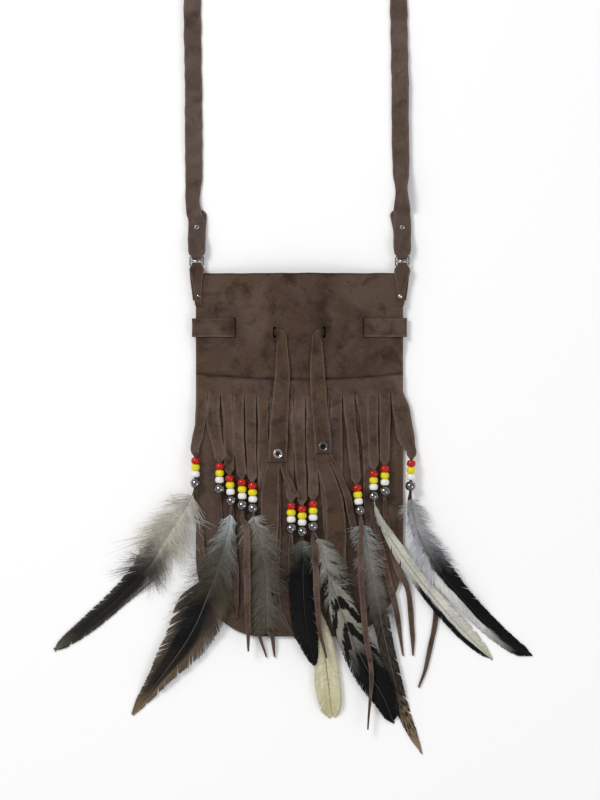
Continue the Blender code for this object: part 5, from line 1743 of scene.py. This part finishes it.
# %% Feather finish
def make_barb_group():
    colour = "NodeSocketColor"
    number = "NodeSocketFloat"
    group, given, result = new_group(
        "barb_streak",
        [("Vector", "NodeSocketVector", None), ("Tone", colour, None), ("Streak", number, 0.25)],
        [("Color", colour), ("Roughness", number), ("Height", number)])
    stretch = add_node(group, "ShaderNodeMapping")
    stretch.inputs["Scale"].default_value = (160, 3, 1)
    group.links.new(given.outputs["Vector"], stretch.inputs["Vector"])
    streak = noise_value(group, stretch.outputs["Vector"], 1.0, 3, 0.6)
    cloud = noise_value(group, given.outputs["Vector"], 9.0, 3, 0.6, 0.3)
    dark = map_range(group, streak, 0.3, 0.7, 0.72, 1.22)
    soft = map_range(group, cloud, 0.3, 0.7, 0.85, 1.12)
    shade = math_node(group, "MULTIPLY", dark, soft)
    varied = mix_colour(group, 1.0, given.outputs["Tone"], shade, "MULTIPLY")
    feed(group, result, Color=mix_colour(group, given.outputs["Streak"], given.outputs["Tone"], varied),
         Roughness=map_range(group, streak, 0.3, 0.7, 0.45, 0.7), Height=streak)
    return group


BARB_GROUP = make_barb_group()


def ramp(tree, value, stops):
    node = add_node(tree, "ShaderNodeValToRGB")
    tree.links.new(value, node.inputs["Fac"])
    band = node.color_ramp
    while len(band.elements) < len(stops):
        band.elements.new(0.5)
    for element, (position, colour) in zip(band.elements, stops):
        element.position = position
        element.color = (*colour, 1)
    return node.outputs["Color"]


BARB_STREAK = 0.8


def feather_finish(name, stops, side_stops=None, side_edge=None, bars=None, fringe=None):
    """Painted barbs. Side stops colour the side past side_edge, bars are (count, slant, colour, from, to),
    and fringe is (colour, from, to) of the barbs' outer ends, as shares from the shaft."""
    material, tree, shader = shader_of(name)
    shares = add_node(tree, "ShaderNodeUVMap", uv_map="barb")
    split = add_node(tree, "ShaderNodeSeparateXYZ")
    tree.links.new(shares.outputs["UV"], split.inputs["Vector"])
    drift = noise_value(tree, shares.outputs["UV"], 7.0, 3, 0.6)
    along = math_node(tree, "ADD", split.outputs["X"], map_range(tree, drift, 0.3, 0.7, -0.035, 0.035))
    out = math_node(tree, "ADD", split.outputs["Y"], map_range(tree, drift, 0.3, 0.7, -0.06, 0.06))
    reach = math_node(tree, "ABSOLUTE", math_node(tree, "SUBTRACT", out, 0.5))
    tone = ramp(tree, along, stops)
    if side_stops:
        mask = map_range(tree, out, *side_edge, smooth=True)
        tone = mix_colour(tree, mask, tone, ramp(tree, along, side_stops))
    if fringe:
        colour, first, last = fringe
        mask = map_range(tree, reach, first / 2, last / 2, 0, 0.85, smooth=True)
        mask = math_node(tree, "MULTIPLY", mask, map_range(tree, along, 0.30, 0.45, smooth=True))
        tone = mix_colour(tree, mask, tone, (*colour, 1))
    if bars:
        count, slant, colour, first, last = bars
        phase = math_node(tree, "SUBTRACT", math_node(tree, "MULTIPLY", along, count),
                          math_node(tree, "MULTIPLY", reach, slant))
        wave = math_node(tree, "SINE", math_node(tree, "MULTIPLY", phase, 2 * math.pi))
        mask = map_range(tree, wave, -0.15, 0.35, smooth=True)
        for start, full in ((first, first + 0.05), (last, last - 0.05)):
            mask = math_node(tree, "MULTIPLY", mask, map_range(tree, along, start, full, smooth=True))
        tone = mix_colour(tree, mask, tone, (*colour, 1))
    barb = add_node(tree, "ShaderNodeGroup", node_tree=BARB_GROUP)
    feed(tree, barb, Vector=shares.outputs["UV"], Tone=tone, Streak=BARB_STREAK)
    bump(tree, shader, barb.outputs["Height"], 0.05 * MM, 0.3)
    feed(tree, shader, Base_Color=barb.outputs["Color"], Roughness=barb.outputs["Roughness"],
         Specular_IOR_Level=0.16, Sheen_Weight=0.02)
    return material


def shaft_finish(name, pale, dark):
    material, tree, shader = shader_of(name)
    place = add_node(tree, "ShaderNodeTexCoord").outputs["Object"]
    grain = noise_value(tree, place, 900, 3, 0.6)
    tone = mix_colour(tree, map_range(tree, grain, 0.35, 0.65), (*pale, 1), (*dark, 1))
    bump(tree, shader, grain, 0.03 * MM, 0.3)
    feed(tree, shader, Base_Color=tone, Roughness=map_range(tree, grain, 0.3, 0.7, 0.3, 0.5))
    return material


SHAFT_PALE = shaft_finish("shaft_pale", (0.42, 0.38, 0.30), (0.30, 0.26, 0.20))
SHAFT_GREY = shaft_finish("shaft_grey", (0.16, 0.15, 0.13), (0.09, 0.08, 0.07))
SHAFT_DARK = shaft_finish("shaft_dark", (0.035, 0.03, 0.027), (0.016, 0.014, 0.013))
BLACK = (0.0045, 0.0045, 0.0055)
SOOT = (0.014, 0.014, 0.015)

# Per feather: record slot, shaft finish, share where the down ends, length and lift of the down's
# barbs, and the painted finish.
FEATHER_LOOKS = {
    1: ("feather_grey", SHAFT_DARK, 0.40, 1.65, 3.0, feather_finish(
        "feather_paint_1", [(0.0, (0.50, 0.46, 0.42)), (0.14, (0.60, 0.57, 0.50)), (0.28, (0.52, 0.49, 0.40)),
                            (0.38, (0.12, 0.112, 0.095)), (0.50, (0.012, 0.011, 0.010)),
                            (0.86, (0.020, 0.018, 0.015)), (0.94, (0.07, 0.070, 0.052)),
                            (1.0, (0.15, 0.15, 0.11))],
        [(0.0, (0.52, 0.50, 0.46)), (0.34, (0.60, 0.59, 0.53)), (0.50, (0.30, 0.29, 0.25)), (0.62, SOOT),
         (1.0, SOOT)],
        (0.80, 0.95), fringe=((0.070, 0.064, 0.050), 0.45, 1.0))),
    2: ("feather_dark", SHAFT_GREY, 0.42, 1.15, 2.4, feather_finish(
        "feather_paint_2", [(0.0, (0.62, 0.68, 0.74)), (0.10, (0.42, 0.45, 0.46)),
                            (0.20, (0.13, 0.125, 0.10)), (0.34, (0.070, 0.062, 0.045)),
                            (0.44, (0.012, 0.012, 0.012)), (0.60, BLACK),
                            (0.84, (0.028, 0.020, 0.014)), (1.0, (0.24, 0.165, 0.085))],
        [(0.0, (0.62, 0.68, 0.74)), (0.12, (0.30, 0.31, 0.29)), (0.30, (0.095, 0.082, 0.058)),
         (0.50, (0.075, 0.052, 0.034)), (0.70, (0.115, 0.078, 0.047)), (0.86, (0.20, 0.14, 0.08)),
         (1.0, (0.36, 0.26, 0.14))], (0.62, 0.84), fringe=((0.115, 0.088, 0.060), 0.45, 0.95))),
    3: ("feather_down", SHAFT_GREY, 1.0, 1.45, 2.4, feather_finish(
        "feather_paint_3", [(0.0, (0.50, 0.49, 0.47)), (0.16, (0.26, 0.24, 0.20)),
                            (0.40, (0.13, 0.115, 0.088)), (0.75, (0.16, 0.145, 0.115)),
                            (1.0, (0.12, 0.105, 0.08))])),
    4: ("feather_cream", SHAFT_GREY, 0.36, 0.7, 0.3, feather_finish(
        "feather_paint_4", [(0.0, (0.10, 0.10, 0.09)), (0.42, (0.24, 0.22, 0.16)), (0.60, (0.58, 0.54, 0.38)),
                            (0.80, (0.64, 0.60, 0.40)), (1.0, (0.60, 0.56, 0.32))])),
    5: ("feather_black", SHAFT_DARK, 0.28, 1.4, 1.6, feather_finish(
        "feather_paint_5", [(0.0, (0.20, 0.21, 0.18)), (0.10, (0.085, 0.09, 0.07)),
                            (0.20, (0.014, 0.014, 0.012)), (0.32, BLACK), (1.0, BLACK)])),
    6: ("feather_barred", SHAFT_GREY, 0.26, 1.4, 2.2, feather_finish(
        "feather_paint_6", [(0.0, (0.28, 0.27, 0.24)), (0.14, (0.36, 0.35, 0.32)), (0.30, (0.30, 0.29, 0.25)),
                            (0.52, (0.26, 0.245, 0.20)), (0.62, (0.05, 0.05, 0.045)), (0.68, BLACK),
                            (1.0, BLACK)],
        bars=(6.5, 1.1, (0.006, 0.006, 0.007), 0.20, 0.70))),
    7: ("feather_brown", SHAFT_GREY, 0.36, 1.35, 1.6, feather_finish(
        "feather_paint_7", [(0.0, (0.44, 0.44, 0.46)), (0.20, (0.28, 0.26, 0.23)),
                            (0.42, (0.060, 0.046, 0.036)), (0.70, (0.036, 0.028, 0.022)),
                            (0.80, (0.20, 0.145, 0.085)), (1.0, (0.30, 0.215, 0.12))],
        bars=(20.0, 2.2, (0.022, 0.016, 0.012), 0.40, 0.93))),
    8: ("feather_white", SHAFT_PALE, 0.14, 0.8, 0.8, feather_finish(
        "feather_paint_8", [(0.0, (0.50, 0.49, 0.44)), (0.3, (0.60, 0.59, 0.50)), (0.7, (0.66, 0.65, 0.60)),
                            (1.0, (0.50, 0.50, 0.36))],
        [(0.0, (0.5, 0.5, 0.47)), (0.42, (0.42, 0.42, 0.38)), (0.50, BLACK), (0.92, BLACK),
         (1.0, (0.10, 0.10, 0.07))],
        (0.34, 0.26))),
    9: ("feather_black", SHAFT_DARK, 0.34, 1.3, 2.4, feather_finish(
        "feather_paint_9", [(0.0, (0.34, 0.32, 0.31)), (0.20, (0.42, 0.42, 0.44)), (0.34, (0.10, 0.10, 0.11)),
                            (0.42, BLACK), (1.0, BLACK)],
        [(0.0, (0.40, 0.39, 0.38)), (0.24, (0.58, 0.60, 0.66)), (0.46, (0.66, 0.66, 0.64)),
         (0.72, (0.56, 0.57, 0.54)), (0.84, (0.20, 0.20, 0.18)), (0.90, BLACK), (1.0, BLACK)], (0.40, 0.32))),
}
DOWN_START = 0.05
LATE_DOWN = {4: 0.30}         # feathers whose down begins further out
DOWN_PAST = 0.06              # how far the down reaches into the vane, and the vane into the down
VANE_BEFORE = 0.10
VANE_END = 0.995
SHAFT_STEPS = 60
SHAFT_RISE = 0.10 * MM        # shaft's axis above the vane, and how far it sinks into the down
SHAFT_SINK = 0.5 * MM
SHAFT_ROOT = 0.46 * MM        # shaft's radius at the quill, and what is left off it by the tip
SHAFT_TAPER = 0.36 * MM


def make_feather(number):
    slot, shaft, down_end, down_reach, down_lift, finish = FEATHER_LOOKS[number]
    course = Course(number)
    sheet = bmesh.new()
    sheet.loops.layers.uv.new("barb")
    for sign in (-1, 1):
        seed = number * 10 + sign
        start = LATE_DOWN.get(number, DOWN_START)
        for end, turn, size, density, rise in ((down_end + DOWN_PAST, 0, 1.0, 1.3, 1.0),
                                               (down_end, 200, 0.62, 1.2, 0.6)):
            gather(sheet, down_side(course, sign, start, end, seed + turn, down_reach * size, density,
                                    down_lift * rise))
        if down_end < 0.95:
            gather(sheet, vane_side(course, sign, down_end - VANE_BEFORE, VANE_END, seed + 100))
    item = object_from(f"feather_vane_{number}", sheet, finish)
    thicken(item, BARB_WALL, 0)
    item.modifiers["wall"].use_even_offset = False
    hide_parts(f"feather_{number}")
    points = []
    radii = []
    for step in range(SHAFT_STEPS + 1):
        share = step / SHAFT_STEPS
        point = course.at(share)[0]
        in_down = 1 - smoothstep((share - down_end + 0.12) / 0.16)
        point.z = course.level(point, share) + SHAFT_RISE - SHAFT_SINK * in_down
        points.append(point)
        radii.append(SHAFT_ROOT - SHAFT_TAPER * share ** 0.8)
    stem = object_from(f"feather_shaft_{number}", carry_ring(points, radii, 8), shaft)
    return len(item.data.polygons)


barb_faces = sum(make_feather(number) for number in FEATHERS)
print("nine feathers,", barb_faces, "faces on their barbs")
